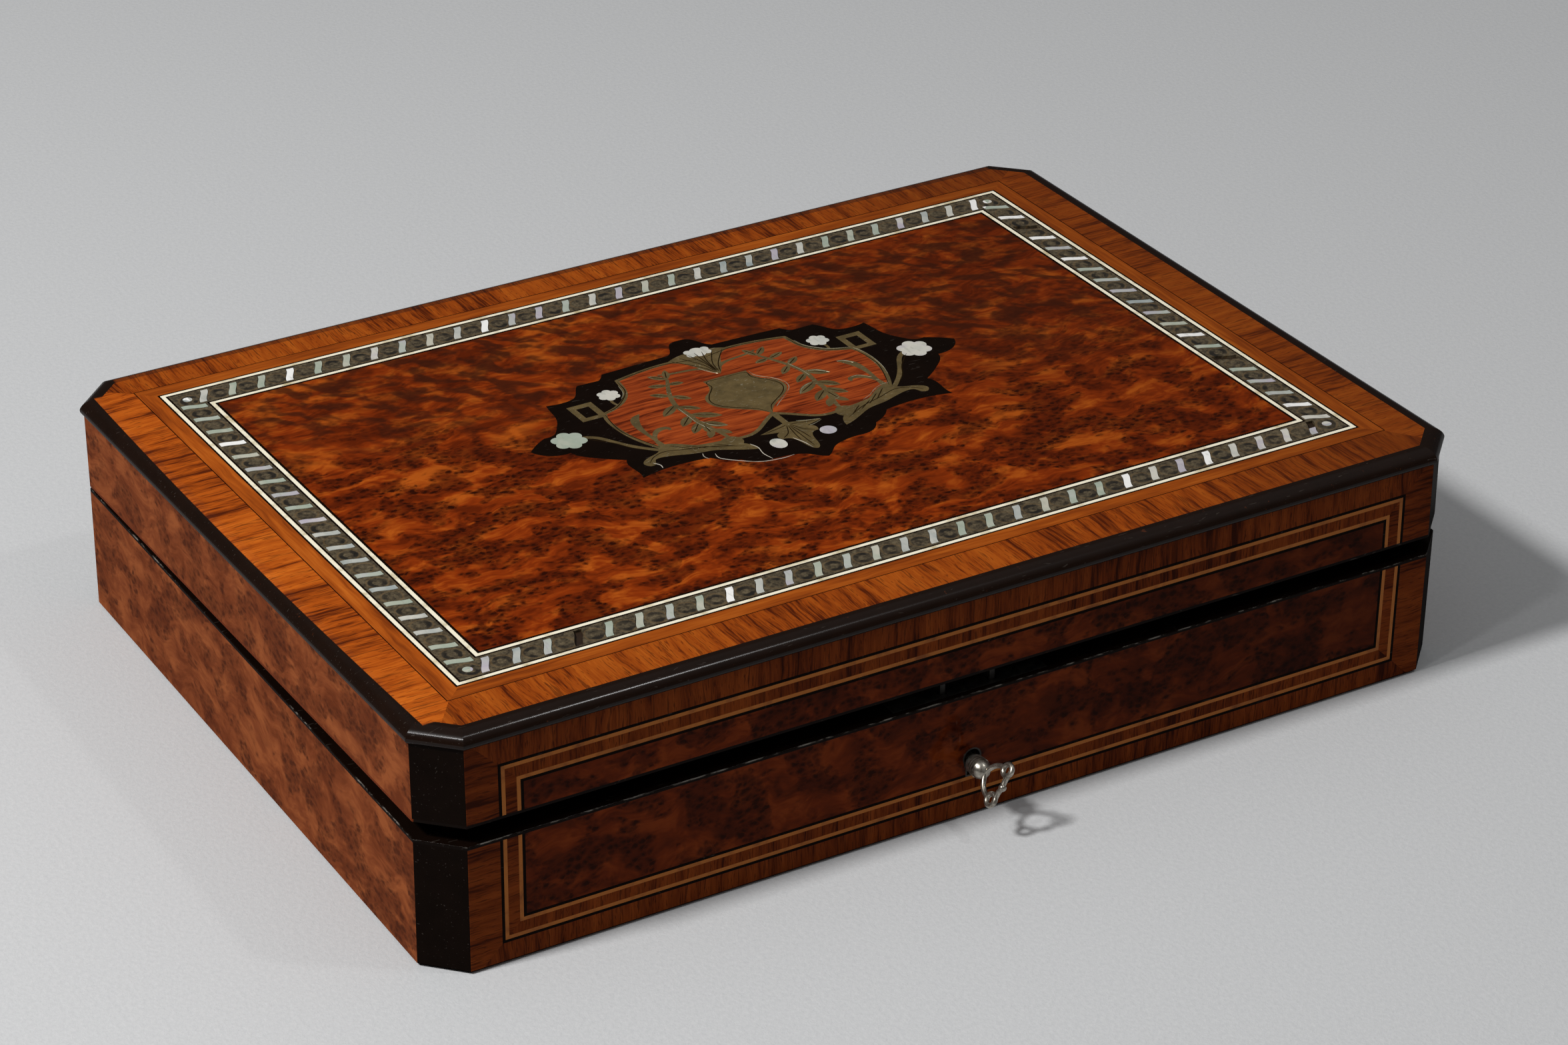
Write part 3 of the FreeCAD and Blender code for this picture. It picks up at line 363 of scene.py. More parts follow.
def crossband_colour(shader):
    """Grain square to the edge on each of the four runs, which meet in mitres."""
    side_way, front_way = past_edges(shader)
    slope = shader.choose(shader.step(shader.y, -0.01, 0.01), FRONT_MITRE, BACK_MITRE)
    on_side = shader.math("GREATER_THAN", shader.times(side_way, slope), front_way)
    along = shader.choose(on_side, shader.x, shader.y)
    across = shader.choose(on_side, shader.y, shader.x)
    tones = (linear(74, 26, 6), linear(156, 70, 14), linear(192, 98, 26))
    colour = banded_wood(shader, along, across, shader.z, tones)
    # painted shade on the front and back runs and towards the right
    return painted_banding_shade(shader, colour, on_side, 0.6, 0.34)


def top_banding_shader(name):
    return Shader(name, Roughness=0.42, Coat_Weight=0.2, Coat_Roughness=0.12,
                  Specular_IOR_Level=0.0)


def top_crossbanding():
    shader = top_banding_shader("tulipwood_crossbanding")
    return shader.finish(crossband_colour(shader), normal=polish_ripple(shader))


def top_straight_banding():
    """Grain along each run."""
    shader = top_banding_shader("tulipwood_straight_banding")
    side_way, front_way = past_edges(shader)
    on_side = shader.math("GREATER_THAN", side_way, front_way)
    along = shader.choose(on_side, shader.y, shader.x)
    across = shader.choose(on_side, shader.x, shader.y)
    wide, thin, _ = grain(shader, along, across, shader.z)
    colour = shader.ramp(shader.blend(0.6, wide, thin),
                         [(0.34, linear(112, 48, 11)), (0.52, linear(152, 72, 17)),
                          (0.68, linear(176, 92, 27))])
    # painted shade on the front and back runs and towards the right
    colour = painted_banding_shade(shader, colour, on_side, 0.4, 0.2)
    return shader.finish(colour, normal=polish_ripple(shader))


def front_banding(name, mitre_z, way):
    """Front banding; way is 1 where the lying band is below mitre_z and -1 above."""
    shader = Shader(name, Roughness=0.45, Coat_Weight=0.06, Coat_Roughness=0.14,
                    Specular_IOR_Level=0.0)
    side_way = shader.minus(shader.absolute(shader.x), FRONT_MITRE_X)
    lying_way = shader.times(shader.minus(mitre_z, shader.z), way)
    on_side = shader.math("GREATER_THAN", side_way, lying_way)
    along = shader.choose(on_side, shader.x, shader.z)
    across = shader.choose(on_side, shader.z, shader.x)
    tones = (linear(48, 16, 5), linear(92, 38, 11), linear(120, 56, 19))
    colour = banded_wood(shader, along, across, shader.y, tones, piece=52.0)
    return shader.finish(colour, normal=polish_ripple(shader))


# Plain woods

QUARTER_SHIFT_X = 370.0      # how far the figure is moved to either side, and to front and back
QUARTER_SHIFT_Y = 530.0


def plain_wood(name, dark, middle, light, grain_way=(1, 0, 0), quarters=False):
    """Straight-grained wood, with another stretch of grain in each quarter if asked."""
    shader = Shader(name, Roughness=0.5, Coat_Weight=0.1, Coat_Roughness=0.2,
                    Specular_IOR_Level=0.3)
    place = shader.warp(shader.place, size=60.0, reach=3.0)
    if quarters:
        shift = shader.plus(shader.times(shader.math("SIGN", shader.x), QUARTER_SHIFT_X),
                            shader.times(shader.math("SIGN", shader.y), QUARTER_SHIFT_Y))
        place = shader.vector("ADD", place, shader.join(shift, shift, shift))
    squeeze = [0.05 if part else 1.0 for part in grain_way]
    wide = shader.noise(shader.stretch(place, *squeeze), size=6.0, detail=4.0, roughness=0.6)
    thin = shader.noise(shader.stretch(place, *squeeze), size=1.0, detail=3.0, roughness=0.6)
    colour = shader.ramp(shader.blend(0.6, wide, thin),
                         [(0.36, dark), (0.50, middle), (0.64, light)])
    pore = shader.noise(shader.stretch(shader.place, *squeeze), size=0.45, detail=1.0)
    colour = shader.mix(shader.times(shader.step(pore, 0.64, 0.72), 0.5), colour, dark)
    return shader.finish(colour, normal=shader.bump(thin, 0.03))


def carcass_wood():
    return plain_wood("carcass_wood", linear(92, 56, 34), linear(128, 82, 50),
                      linear(150, 102, 64))


def partition_wood():
    return plain_wood("partition_wood", linear(84, 44, 26), linear(122, 68, 40),
                      linear(146, 88, 54))


def counter_box_wood():
    return plain_wood("counter_box_wood", linear(122, 70, 36), linear(152, 93, 49),
                      linear(174, 114, 64), grain_way=(0, 1, 0), quarters=True)


def lid_board_wood():
    """The lid's board: bare inside, dark with old glue on the face under the veneers."""
    shader = Shader("lid_board_wood", Roughness=0.6, Specular_IOR_Level=0.2)
    place = shader.stretch(shader.warp(shader.place, size=70.0, reach=3.0), 0.04, 1.0, 1.0)
    tone = shader.noise(place, size=3.0, detail=4.0, roughness=0.65)
    bare = shader.ramp(tone, [(0.34, linear(104, 66, 40)), (0.50, linear(128, 82, 50)),
                              (0.66, linear(144, 97, 61))])
    glue = shader.mix(shader.noise(shader.place, size=2.0, detail=3.0), linear(16, 11, 7),
                      linear(52, 36, 22))
    drop = shader.times(shader.minus(shader.y, HINGE_Y), math.tan(LID_AJAR))
    height = shader.plus(shader.z, drop)
    colour = shader.mix(shader.step(height, GLUE_FROM, GLUE_FROM + 0.2), bare, glue)
    return shader.finish(colour, normal=shader.bump(tone, 0.03))


def line_wood(name, dark, light):
    """Fine stringing: nearly even, with faint stains along its length."""
    shader = Shader(name, Roughness=0.45, Coat_Weight=0.1, Coat_Roughness=0.15,
                    Specular_IOR_Level=0.1)
    tone = shader.noise(shader.place, size=6.0, detail=3.0, roughness=0.6)
    return shader.finish(shader.ramp(tone, [(0.28, dark), (0.50, light)]))


def rosewood_reserve():
    """The red-orange ground inside the cartouche, with long dark streaks."""
    shader = Shader("rosewood_reserve", Roughness=0.42, Coat_Weight=0.15, Coat_Roughness=0.12,
                    Specular_IOR_Level=0.0)
    place = shader.warp(shader.place, size=18.0, reach=1.6)
    wide = shader.noise(shader.stretch(place, 0.06, 1.0, 1.0), size=1.4)
    thin = shader.noise(shader.stretch(place, 0.05, 1.0, 1.0), size=0.5, roughness=0.6)
    colour = shader.ramp(shader.blend(0.55, wide, thin),
                         [(0.36, linear(72, 24, 9)), (0.47, linear(120, 47, 18)),
                          (0.62, linear(150, 66, 26))])
    return shader.finish(colour)


# Blackened wood

MOULDING_INNER = 161.3       # where the moulding on the left looks as if it starts, at its ends
THINNEST_Y = 10.0            # its thinnest place, how far the thinning runs, and how deep
THINNED_HALF = 110.0
THINNED_MOST = 1.7
CORNER_X = 152.1             # about where the straight lengths end, at the back and the sides
CORNER_Y = 107.0
WORN_BACK = (112.5, 115.7)   # the strip of the back length that is worn
WORN_BROWN = (64, 30, 13)


def banding_over_moulding(shader):
    """Share of the crossbanding's colour on the moulding: most half way along the left, and
    some along the back."""
    run = shader.over(shader.minus(shader.y, THINNEST_Y), THINNED_HALF)
    reach = shader.times(shader.minus(1.0, shader.times(run, run)), THINNED_MOST)
    beyond = shader.minus(shader.times(shader.x, -1.0), MOULDING_INNER)
    over = shader.step(shader.minus(beyond, reach), 0.12, -0.12)
    left = shader.times(shader.step(shader.x, -150.0, -155.0),
                        shader.step(shader.absolute(shader.y), CORNER_Y + 0.5, CORNER_Y - 0.5))
    inner, outer = WORN_BACK
    back = shader.times(shader.step(shader.y, inner - 0.5, inner + 0.5),
                        shader.step(shader.y, outer + 0.5, outer - 0.5),
                        shader.step(shader.absolute(shader.x), CORNER_X + 0.5, CORNER_X - 0.5))
    return shader.larger(shader.times(over, left), shader.times(back, 0.5))


def rubbed_rim(shader):
    """Share of pale rubbed wood: chips along the outer edge of the base's rim, all along the
    front and here and there elsewhere."""
    wide = shader.absolute(shader.x)
    deep = shader.absolute(shader.y)
    out = shader.larger(shader.minus(wide, SIDE_FACE), shader.minus(deep, FRONT_FACE))
    cant = shader.minus(shader.plus(wide, deep), CANT_FACE)
    out = shader.larger(out, shader.times(cant, math.sqrt(0.5)))
    edge = shader.times(shader.step(out, -0.35, -0.05),
                        shader.step(shader.z, RIM_RUBBED, RIM_RUBBED + 0.3))
    chip = shader.noise(shader.stretch(shader.place, 0.2, 0.2, 1.0), size=1.1, detail=4.0,
                        roughness=0.75)
    at_front = shader.step(shader.y, 1.0 - FRONT_FACE, 0.5 - FRONT_FACE)
    patch = shader.step(shader.noise(shader.place, size=24.0, detail=1.0), 0.52, 0.60)
    patch = shader.times(edge, shader.larger(at_front, patch))
    return shader.times(shader.step(chip, 0.48, 0.64), patch, 0.8)


def black_wood(name, rough, coat, wear=0.0, base=(8, 4, 2), rubbed=False, brown_sides=False,
               thinned=False):
    """Black polished wood with faint scratches and, where asked for, worn brown patches, a
    pale rubbed rim, brown outer sides, and an inner edge that the banding has worn over."""
    shader = Shader(name, Coat_Weight=coat, Coat_Roughness=0.15, Specular_IOR_Level=0.0)
    cloud = shader.noise(shader.place, size=7.0, detail=4.0, roughness=0.65)
    colour = shader.mix(cloud, linear(*base), linear(base[0] + 11, base[1] + 6, base[2] + 4))
    if wear:
        patch = shader.noise(shader.place, size=3.6, detail=5.0, roughness=0.75)
        colour = shader.mix(shader.step(patch, 0.74 - wear, 0.80 - wear), colour,
                            linear(*WORN_BROWN))
    line = shader.stretch(shader.warp(shader.place, size=12.0, reach=3.0), 0.08, 1.0, 1.0)
    scratch = shader.step(shader.noise(line, size=0.5, detail=1.0), 0.70, 0.78)
    colour = shader.mix(shader.times(scratch, 0.25), colour, linear(92, 84, 78))
    if rubbed:
        colour = shader.mix(rubbed_rim(shader), colour, linear(128, 122, 114))
    if brown_sides:
        side = shader.step(shader.absolute(shader.x), SIDE_FACE - 0.4, SIDE_FACE - 0.2)
        colour = shader.mix(side, colour, linear(96, 40, 12))
    if thinned:
        colour = shader.mix(banding_over_moulding(shader), colour, crossband_colour(shader))
    roughness = shader.plus(shader.times(cloud, 0.22), rough - 0.11)
    return shader.finish(colour, roughness, polish_ripple(shader))


# Metals

def metal(name, dark, light, rough, size=3.0, scratches=0.0, share=1.0, spots=0.0):
    """Old metal: cloudy tarnish, faint scratches and dark spots; share is how much is metal."""
    shader = Shader(name, Metallic=share)
    cloud = shader.noise(shader.place, size, detail=5.0, roughness=0.65)
    colour = shader.ramp(cloud, [(0.35, linear(*dark)), (0.65, linear(*light))])
    line = shader.stretch(shader.warp(shader.place, size=8.0, reach=4.0), 0.12, 1.0, 1.0)
    scratch = shader.step(shader.noise(line, size=0.45, detail=1.0), 0.66, 0.74)
    colour = shader.mix(shader.times(scratch, scratches), colour, linear(205, 198, 176))
    if spots:
        spot = shader.noise(shader.place, size=0.9, detail=3.0, roughness=0.7)
        colour = shader.mix(shader.times(shader.step(spot, 0.60, 0.68), spots), colour,
                            linear(*[0.45 * part for part in dark]))
    roughness = shader.plus(shader.times(cloud, -0.2), rough + 0.1)
    grit = shader.noise(shader.place, size=1.2, detail=3.0)
    return shader.finish(colour, roughness, shader.bump(grit, 0.02))


# The pewter band and the pearl in it and in the cartouche

CELL_SHIFT = 100.5           # keeps the count above 0, with a scroll at each whole number
SCROLL_CELL = 9.0            # the length of a cell, and the scroll's reach along and across it
SCROLL_HALF_ALONG = 2.5
SCROLL_HALF_ACROSS = 2.7
SIDE_NUMBER = 5.0            # tells the long rows from the short ones
GLINT_SPREAD = 57.0          # makes a second number for each piece out of its first
PEARL_TINTS = [(0.0, linear(186, 182, 166)), (0.20, linear(154, 164, 147)),
               (0.38, linear(172, 176, 166)), (0.55, linear(174, 166, 176)),
               (0.72, linear(200, 196, 184)), (1.0, linear(148, 156, 154))]


def row_place(shader, vector):
    """In the pearl rows: place along in cells, place across from the row's middle in mm, and a
    number that tells the four rows apart."""
    x, y = shader.split(vector)[:2]
    x = shader.minus(x, BORDER_X)
    y = shader.minus(y, BORDER_Y)
    wide = shader.absolute(x)
    deep = shader.absolute(y)
    on_long = shader.math("GREATER_THAN", shader.minus(wide, BORDER_HALF_X),
                          shader.minus(deep, BORDER_HALF_Y))
    along = shader.choose(on_long, shader.over(x, CELL_LONG), shader.over(y, CELL_SHORT))
    into = shader.choose(on_long, shader.minus(deep, BORDER_HALF_Y - ROW_IN),
                         shader.minus(wide, BORDER_HALF_X - ROW_IN))
    far = shader.choose(on_long, shader.math("SIGN", y), shader.math("SIGN", x))
    return along, into, shader.plus(far, shader.times(on_long, SIDE_NUMBER))


def pewter_band():
    """Dull pewter with a dark engraved scroll between every two bars."""
    shader = Shader("pewter_band", Metallic=0.45)
    along, into, _ = row_place(shader, shader.warp(shader.place, size=3.0, reach=0.5))
    cell = shader.minus(shader.math("FRACT", shader.plus(along, CELL_SHIFT)), 0.5)
    round_x = shader.over(shader.times(cell, SCROLL_CELL), SCROLL_HALF_ALONG)
    round_y = shader.over(into, SCROLL_HALF_ACROSS)
    radius = shader.math("SQRT", shader.plus(shader.times(round_x, round_x),
                                             shader.times(round_y, round_y)))
    aside = shader.over(shader.absolute(round_y), radius)
    ring = shader.times(shader.step(radius, 0.42, 0.60), shader.step(radius, 1.12, 0.92),
                        shader.choose(shader.step(aside, 0.3, 0.75), 0.35, 1.0))
    cloud = shader.noise(shader.place, size=1.5, detail=4.0, roughness=0.7)
    colour = shader.ramp(cloud, [(0.36, linear(54, 45, 32)), (0.64, linear(114, 100, 75))])
    strength = shader.step(shader.noise(shader.place, size=7.0, detail=1.0), 0.32, 0.56)
    colour = shader.mix(shader.times(ring, shader.times(strength, 0.9)), colour,
                        linear(20, 16, 12))
    line = shader.times(shader.step(radius, 1.02, 1.14), shader.step(radius, 1.34, 1.20))
    colour = shader.mix(shader.times(line, 0.45), colour, linear(118, 92, 56))
    fleck = shader.noise(shader.place, size=0.8, roughness=0.7)
    colour = shader.mix(shader.times(shader.step(fleck, 0.60, 0.70), 0.5), colour,
                        linear(40, 36, 32))
    return shader.finish(colour, shader.plus(shader.times(cloud, 0.3), 0.32),
                         shader.bump(shader.times(ring, -1.0), 0.02))


def pearl(name, piece, painted_glints=0.0):
    """Mother-of-pearl; piece gives each place a number from 0 to 1 that sets its tint, and glints
    is the share of pieces given a painted highlight, pale as if they caught the light."""
    shader = Shader(name, Roughness=0.24, Coat_Weight=0.5, Coat_Roughness=0.08)
    own = piece(shader)
    drift = shader.noise(shader.warp(shader.place, size=7.0, reach=3.0), size=6.0)
    tint = shader.plus(own, shader.times(shader.minus(drift, 0.5), 0.5))
    colour = shader.ramp(tint, PEARL_TINTS)
    # painted highlight: a few pieces pale white
    if painted_glints:
        chance = shader.math("FRACT", shader.times(own, GLINT_SPREAD))
        colour = shader.mix(shader.step(chance, 0.995 - painted_glints, 1.005 - painted_glints), colour,
                            linear(238, 236, 232))
    cloud = shader.noise(shader.stretch(shader.place, 1.0, 0.35, 1.0), size=1.2)
    colour = shader.mix(shader.times(shader.step(cloud, 0.54, 0.72), 0.3), colour,
                        linear(140, 142, 128))
    return shader.finish(colour, normal=shader.bump(cloud, 0.015))


def bar_number(shader):
    """Each bar has a number of its own."""
    along, _, row = row_place(shader, shader.place)
    cell = shader.join(shader.math("FLOOR", along), row, 3.0)
    return shader.add("TexWhiteNoise", {"Vector": cell}, noise_dimensions="3D").outputs["Value"]


def flower_number(shader):
    """The flower on the left is greenish, the round dot lilac, and the others are cream."""
    others = shader.step(shader.x, LEFT_FLOWER_END - 3.0, LEFT_FLOWER_END + 3.0)
    away = shader.distance(shader.place, ROUND_DOT)
    dot = shader.step(away, ROUND_DOT_REACH + 0.5, ROUND_DOT_REACH - 0.5)
    number = shader.plus(shader.times(others, 0.52), 0.20)
    return shader.minus(number, shader.times(dot, 0.15))


# Materials, and the CAD nodes that each is on

EBONY = black_wood("ebonised_line", 0.45, 0.05)
STRIP = black_wood("ebonised_corner", 0.5, 0.06, wear=0.02)
MOULDING = black_wood("ebonised_moulding", 0.34, 0.36, wear=0.09, base=(15, 7, 3), thinned=True)
BASE_RIM = black_wood("worn_base_lipping", 0.5, 0.1, rubbed=True)
LID_RIM = black_wood("worn_lid_lipping", 0.5, 0.1, wear=0.08, brown_sides=True)
GROUND = black_wood("ebonised_ground", 0.4, 0.12)
PALE_LINE = line_wood("pale_stringing", linear(180, 164, 126), linear(229, 221, 198))
LIGHT_LINE = line_wood("boxwood_stringing", linear(118, 62, 16), linear(156, 90, 28))
INLAID_BRASS = metal("inlaid_brass", (88, 72, 38), (116, 96, 56), 0.46, size=5.0,
                     scratches=0.25, share=0.45, spots=0.3)
HINGE_BRASS = metal("hinge_brass", (132, 98, 44), (190, 152, 84), 0.34, scratches=0.3)
LOCK_STEEL = metal("lock_steel", (92, 88, 82), (150, 146, 138), 0.42, scratches=0.3)
# dark steel; on the link plate, which shows in the gap under the ajar lid, its darkness is painted
# shade
BLACKENED_AND_PAINTED_SHADE = metal("blackened_steel_and_painted_shade", (30, 27, 24), (52, 47, 42), 0.55, share=0.5)
KEY_STEEL = metal("key_steel", (96, 88, 78), (190, 184, 172), 0.3, size=1.8, scratches=0.2,
                  share=0.9, spots=0.6)

finishes = [
    (carcass_wood(), ["bottom_board", "base_front_board", "base_back_board", "base_left_board",
                      "base_right_board", "lid_front_board", "lid_back_board",
                      "lid_left_board", "lid_right_board"]),
    (lid_board_wood(), ["lid_top_board"]),
    (partition_wood(), ["card_partitions"]),
    (counter_box_wood(), ["counter_%s_%d" % (part, number) for part in ("box", "lid")
                          for number in range(1, 5)]),
    (top_burr(), ["top_burr_field"]),
    (side_burr(), ["base_side_veneers", "lid_side_veneers"]),
    (front_burr(), ["base_front_burr", "lid_front_burr"]),
    (top_crossbanding(), ["top_crossbanding"]),
    (top_straight_banding(), ["top_straight_banding"]),
    (front_banding("front_banding_base", BASE_MITRE_Z, 1), ["base_front_banding"]),
    (front_banding("front_banding_lid", LID_MITRE_Z, -1), ["lid_front_banding"]),
    (EBONY, ["base_foot_line", "base_front_dark_lines", "lid_front_dark_lines",
             "top_black_lines"]),
    (STRIP, ["base_corner_strips", "lid_corner_strips"]),
    (MOULDING, ["lid_edge_moulding"]),
    (BASE_RIM, ["base_rim_lipping"]),
    (LID_RIM, ["lid_rim_lipping"]),
    (PALE_LINE, ["top_white_lines"]),
    (LIGHT_LINE, ["base_front_light_lines", "lid_front_light_lines"]),
    (pewter_band(), ["top_pewter_band"]),
    (pearl("pearl_bars", bar_number, painted_glints=0.1), ["top_pearl_inlay"]),
    (GROUND, ["cartouche_ground"]),
    (rosewood_reserve(), ["cartouche_reserve"]),
    (INLAID_BRASS, ["cartouche_brass"]),
    (pearl("pearl_flowers", flower_number), ["cartouche_pearl"]),
    (HINGE_BRASS, ["hinge_base_leaves", "hinge_base_screws", "hinge_pins", "hinge_lid_leaves",
                   "hinge_lid_screws"]),
    (LOCK_STEEL, ["lock_plate", "lock_cap", "lock_screws", "lock_bolt", "link_screws"]),
    # the link plate's dark colour is painted shade in the gap
    (BLACKENED_AND_PAINTED_SHADE, ["keyhole_liner", "link_plate"]),
    (KEY_STEEL, ["key"]),
]
for material, wearers in finishes:
    for name in wearers:
        for slot in nodes[name].material_slots:
            slot.material = material


# Engraving, painted highlights along edges of the brass, and cracks on the cartouche, drawn in mm
# about its own middle

THREAD_SECTION = ((-1.0, -0.02), (-0.45, 0.04), (0.45, 0.04), (1.0, -0.02))
PATH_STEPS = 6               # between every two points of a line
TIP_WIDTH = 0.3              # as a share of the full width, and how fast it widens
TAPER = 5.0
lid_turn = (Matrix.Translation((0, HINGE_Y, HINGE_Z)) @ Matrix.Rotation(-LID_AJAR, 4, "X")
            @ Matrix.Translation((0, -HINGE_Y, -HINGE_Z)))
cartouche_place = (Matrix.Translation((BORDER_X + CARTOUCHE_X, BORDER_Y, LID_TOP))
                   @ Matrix.Rotation(CARTOUCHE_TURN, 4, "Z"))


def smooth_path(points):
    """A smooth line through the points."""
    points = [Vector(point) for point in points]
    if len(points) == 2:
        return [points[0].lerp(points[1], step / PATH_STEPS) for step in range(PATH_STEPS + 1)]
    ends = [points[0] * 2 - points[1]] + points + [points[-1] * 2 - points[-2]]
    path = []
    for before, start, end, after in zip(ends, ends[1:], ends[2:], ends[3:]):
        for step in range(PATH_STEPS):
            share = step / PATH_STEPS
            path.append(0.5 * (2 * start + (end - before) * share
                               + (2 * before - 5 * start + 4 * end - after) * share ** 2
                               + (3 * start - before - 3 * end + after) * share ** 3))
    return path + [points[-1]]


def add_thread(mesh, points, width):
    """A fine raised line, tapered at both ends, that lies on the cartouche."""
    path = smooth_path(points)
    rows = []
    for number, point in enumerate(path):
        following = path[min(number + 1, len(path) - 1)]
        along = (following - path[max(number - 1, 0)]).normalized()
        share = number / (len(path) - 1)
        half = width / 2 * min(1.0, TIP_WIDTH + TAPER * share, TIP_WIDTH + TAPER * (1 - share))
        row = []
        for aside, rise in THREAD_SECTION:
            corner = Vector((point.x - along.y * aside * half, point.y + along.x * aside * half,
                             rise))
            row.append(mesh.verts.new(lid_turn @ cartouche_place @ corner * MM))
        rows.append(row)
    for row, next_row in zip(rows, rows[1:]):
        for number in range(len(row)):
            beside = (number + 1) % len(row)
            mesh.faces.new((row[number], row[beside], next_row[beside], next_row[number]))
    mesh.faces.new(rows[0])
    mesh.faces.new(rows[-1])


def add_threads(name, lines, width, material):
    """One piece of many threads, which rides on the lid."""
    mesh = bmesh.new()
    for points in lines:
        add_thread(mesh, points, width)
    bmesh.ops.recalc_face_normals(mesh, faces=mesh.faces)
    data = bpy.data.meshes.new(name)
    mesh.to_mesh(data)
    mesh.free()
    data.materials.append(material)
    piece = bpy.data.objects.new(name, data)
    scene.collection.objects.link(piece)
    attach(piece, "lid")


def both_sides(lines):
    return lines + [[(-x, y) for x, y in points] for points in lines]


def add_engraving():
    """Ribs and outlines cut into the brass, alike on both sides of the middle."""
    leaf_ribs = [
        [(15.2, 32), (13.6, 35.8)], [(15.9, 32), (19, 34.9)], [(16.4, 27.9), (13, 27.2)],
        [(18, 27.8), (22, 29.3)], [(19.2, 20.2), (16.2, 17.4)], [(20.8, 21.6), (24.2, 24.2)],
        [(22.4, 14.9), (27.3, 11.2)], [(20.8, 13.4), (17, 10.3)], [(20.3, 7.4), (14.3, 3.7)],
        [(22, 6.8), (25.9, 2.9)], [(21.7, 1.8), (25.4, -2.5)], [(20.2, 1.2), (15.7, -2.9)],
        [(20.8, 0.1), (21.4, -4.7)]]
    scrolls = [
        [(45.8, -12.6), (42.8, -9.8), (38.4, -8.6), (32, -10.8), (25, -13), (17.4, -17.2)],
        [(35.8, -6.2), (30.5, -11.6)], [(32.4, -8.2), (27.2, -12.9)],
        [(28.6, -10.8), (23.4, -14.6)], [(24.2, -12), (19.4, -16.2)],
        [(41.2, -6.4), (45.6, -1.6), (48.8, 3.8), (54, 9.6)]]
    frames = [
        [(1, 38.1), (12, 40.1), (20, 39.4), (28.2, 37.7)],
        [(28.8, 37), (30.1, 30), (36, 23.5), (41.7, 21.1)],
        [(42.2, 20.2), (43.2, 12), (42.6, 6), (38.6, -5.4)]]
    shield = [
        [(0.4, 23.7), (6.5, 23.4), (6.8, 19.8), (10.1, 15.6), (11.7, 12.3), (11.2, 9.1),
         (8.7, 6), (5, 3.2), (2.2, 0.9), (0.6, -2.4)]]
    fan = [
        [(0.4, 28), (1.6, 34), (5.6, 41.4)], [(0.7, 27.6), (3, 33), (8.6, 40.4)],
        [(0.2, 28.4), (0.6, 35), (2.4, 42)]]
    palmette = [
        [(0.6, -12.4), (2.6, -16.6), (5.2, -18.7)], [(0.3, -12.8), (1.2, -18), (1.6, -22.4)],
        [(0.8, -12.1), (4, -12.9), (8.4, -13.7)]]
    on_middle = [[(0, -13), (0, -20), (0, -27)], [(0, 28.6), (0, 42.2)]]
    paired = both_sides(leaf_ribs + scrolls + frames + shield + fan + palmette)
    add_threads("cartouche_engraving", paired + on_middle, 0.42,
                black_wood("engraved_line", 0.5, 0.0, base=(26, 19, 8)))


def add_painted_highlights():
    """Painted highlights: pale threads along edges of the brass that stand a little proud,
    coloured as if they catch the light.
    """
    lines = [
        [(42.5, 21.2), (43.7, 17.6), (44.1, 12), (43.5, 6), (42.2, 1)],
        [(29.9, 34.4), (30.8, 30.3), (33.1, 26.9), (36.4, 24.1), (42.2, 21.7)],
        [(-29.8, 34.8), (-30.8, 30.1), (-33.2, 26.7)], [(37.4, 12.6), (35.6, 15.2), (33.4, 16)],
        [(37, 1.8), (34.2, 4.6), (31.4, 4.8)], [(20.4, 22), (21.6, 16.4), (21.9, 12)],
        [(-22, 13), (-21.9, 8), (-21.7, 2), (-20.2, -4)],
        [(7.9, 23.6), (8.2, 20.3), (11.6, 16.2), (13.4, 12.6), (12.9, 8.8), (9.9, 5.2)],
        [(9.9, 5.2), (5.9, 2), (3, -0.6)], [(-4, 33), (-2.6, 29.8), (-0.6, 26.8)],
        [(27, -9.7), (30.4, -7.9), (33.4, -5.6), (36.6, -4), (39.6, -3.8)],
        [(22.2, 14.8), (25.4, 14), (28.1, 10.7)], [(13.3, 3), (16, 6.2), (20.4, 8.1)],
        [(-14.9, -3.4), (-18.6, -1.2), (-20.4, 2.6)], [(3.2, -11.2), (6.6, -12.6), (10, -13.5)],
        [(10, -14.2), (6.8, -15.4), (5.2, -15.5)]]
    # painted highlight: pale brass threads
    add_threads("cartouche_painted_highlights", lines, 0.3,
                metal("painted_highlight_brass", (128, 118, 86), (196, 190, 164), 0.34, share=0.6))


def add_cracks():
    """Pale cracks in the black ground, mostly along its front edge."""
    lines = [
        [(-27, -17), (-27.4, -19), (-26.6, -21), (-22.6, -24.8), (-18, -28), (-12, -29.2),
         (-8, -29)],
        [(-15.5, -17), (-14.6, -20), (-15.2, -24), (-14.5, -28)],
        [(-30, -15), (-30.6, -17), (-30, -19)], [(-45, -13), (-43.8, -15), (-44, -17)],
        [(-3, -20), (-1.6, -24), (-1, -28)]]
    add_threads("cartouche_cracks", lines, 0.36,
                line_wood("cracked_polish", linear(112, 102, 90), linear(176, 168, 154)))


add_engraving()
add_painted_highlights()
add_cracks()


# Floor

FLOOR_HALF = 4.0


def add_floor():
    mesh = bmesh.new()
    bmesh.ops.create_grid(mesh, x_segments=8, y_segments=8, size=FLOOR_HALF)
    data = bpy.data.meshes.new("floor")
    mesh.to_mesh(data)
    mesh.free()
    floor = bpy.data.objects.new("floor", data)
    scene.collection.objects.link(floor)
    shader = Shader("floor_paper", Roughness=0.9, Specular_IOR_Level=0.1)
    speck = shader.noise(shader.place, size=1.4, detail=3.0, roughness=0.7)
    colour = shader.mix(speck, linear(178, 179, 180), linear(198, 198, 198))
    data.materials.append(shader.finish(colour, normal=shader.bump(speck, 0.15)))


add_floor()


# Light: a soft lamp high on the left, two weak ones for the gloss, and an even pale surround

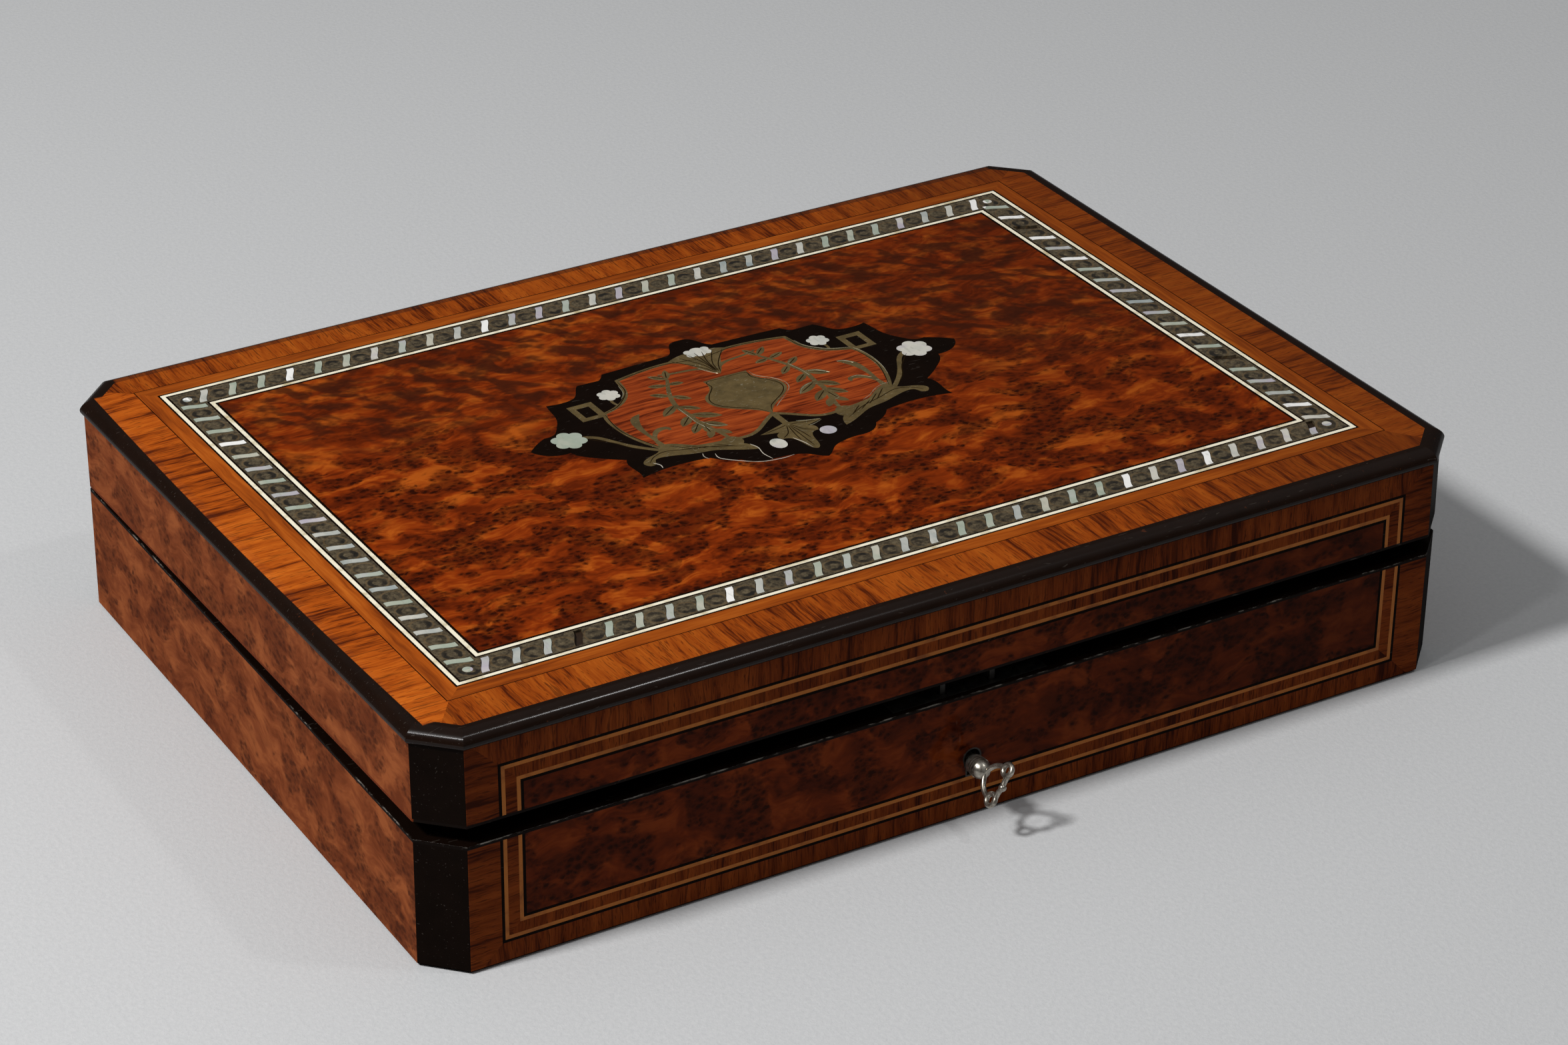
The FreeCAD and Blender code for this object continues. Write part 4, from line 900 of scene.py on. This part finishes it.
LAMPS = [                    # name, place, size and power
    ("left_lamp", (-1.28, -0.06, 1.54), 0.24, 35.5),
    ("overhead_lamp", (0.78, -0.78, 1.97), 0.12, 3.5),
    ("corner_lamp", (-1.32, -0.474, 1.656), 0.12, 3.5),
]
SKY_COLOUR = (0.97, 0.985, 1.0, 1.0)
SKY_LOW = 0.10               # strength near the horizon, and from how high it rises
SKY_LOW_AT = 0.42
SKY_HIGH = 0.36              # strength overhead, and where that is reached
SKY_HIGH_AT = 0.85


def add_lamp(name, place, size, power):
    """A round lamp that faces the origin."""
    light = bpy.data.lights.new(name, "AREA")
    light.shape = "DISK"
    light.size = size
    light.energy = power
    lamp = bpy.data.objects.new(name, light)
    scene.collection.objects.link(lamp)
    lamp.location = place
    lamp.rotation_euler = (-Vector(place)).to_track_quat("-Z", "Y").to_euler()


def add_surround():
    """Pale light from above that falls off towards the horizon."""
    world = bpy.data.worlds.new("surround")
    scene.world = world
    world.use_nodes = True
    tree = world.node_tree
    coordinates = tree.nodes.new("ShaderNodeTexCoord")
    parts = tree.nodes.new("ShaderNodeSeparateXYZ")
    height = tree.nodes.new("ShaderNodeMapRange")
    height.interpolation_type = "SMOOTHSTEP"
    for socket, value in (("From Min", SKY_LOW_AT), ("From Max", SKY_HIGH_AT),
                          ("To Min", SKY_LOW), ("To Max", SKY_HIGH)):
        height.inputs[socket].default_value = value
    background = tree.nodes["Background"]
    background.inputs["Color"].default_value = SKY_COLOUR
    tree.links.new(coordinates.outputs["Generated"], parts.inputs[0])
    tree.links.new(parts.outputs["Z"], height.inputs["Value"])
    tree.links.new(height.outputs["Result"], background.inputs["Strength"])


for lamp in LAMPS:
    add_lamp(*lamp)
add_surround()


# Camera at the photograph's place, solved from the corners of the box

PHOTO_WIDTH = 2352.0         # in pixels, like the focal length
FOCAL_LENGTH = 6613.63
SENSOR = 36.0                # in mm
NEAR_CLIP = 0.01
CAMERA_PLACE = Vector((-0.56808, -0.97042, 0.67083))
RIGHT = Vector((0.86251, -0.50593, 0.01036))
DOWN = Vector((-0.2412, -0.42903, -0.87049))
AHEAD = Vector((0.44485, 0.74831, -0.49207))


def add_camera():
    data = bpy.data.cameras.new("camera")
    data.sensor_fit = "HORIZONTAL"
    data.sensor_width = SENSOR
    data.lens = FOCAL_LENGTH / PHOTO_WIDTH * SENSOR
    data.clip_start = NEAR_CLIP
    camera = bpy.data.objects.new("camera", data)
    scene.collection.objects.link(camera)
    turn = Matrix((RIGHT, -DOWN, -AHEAD)).transposed().to_4x4()
    camera.matrix_world = Matrix.Translation(CAMERA_PLACE) @ turn
    scene.camera = camera


add_camera()
scene.view_settings.view_transform = "Standard"


bpy.context.view_layer.update()
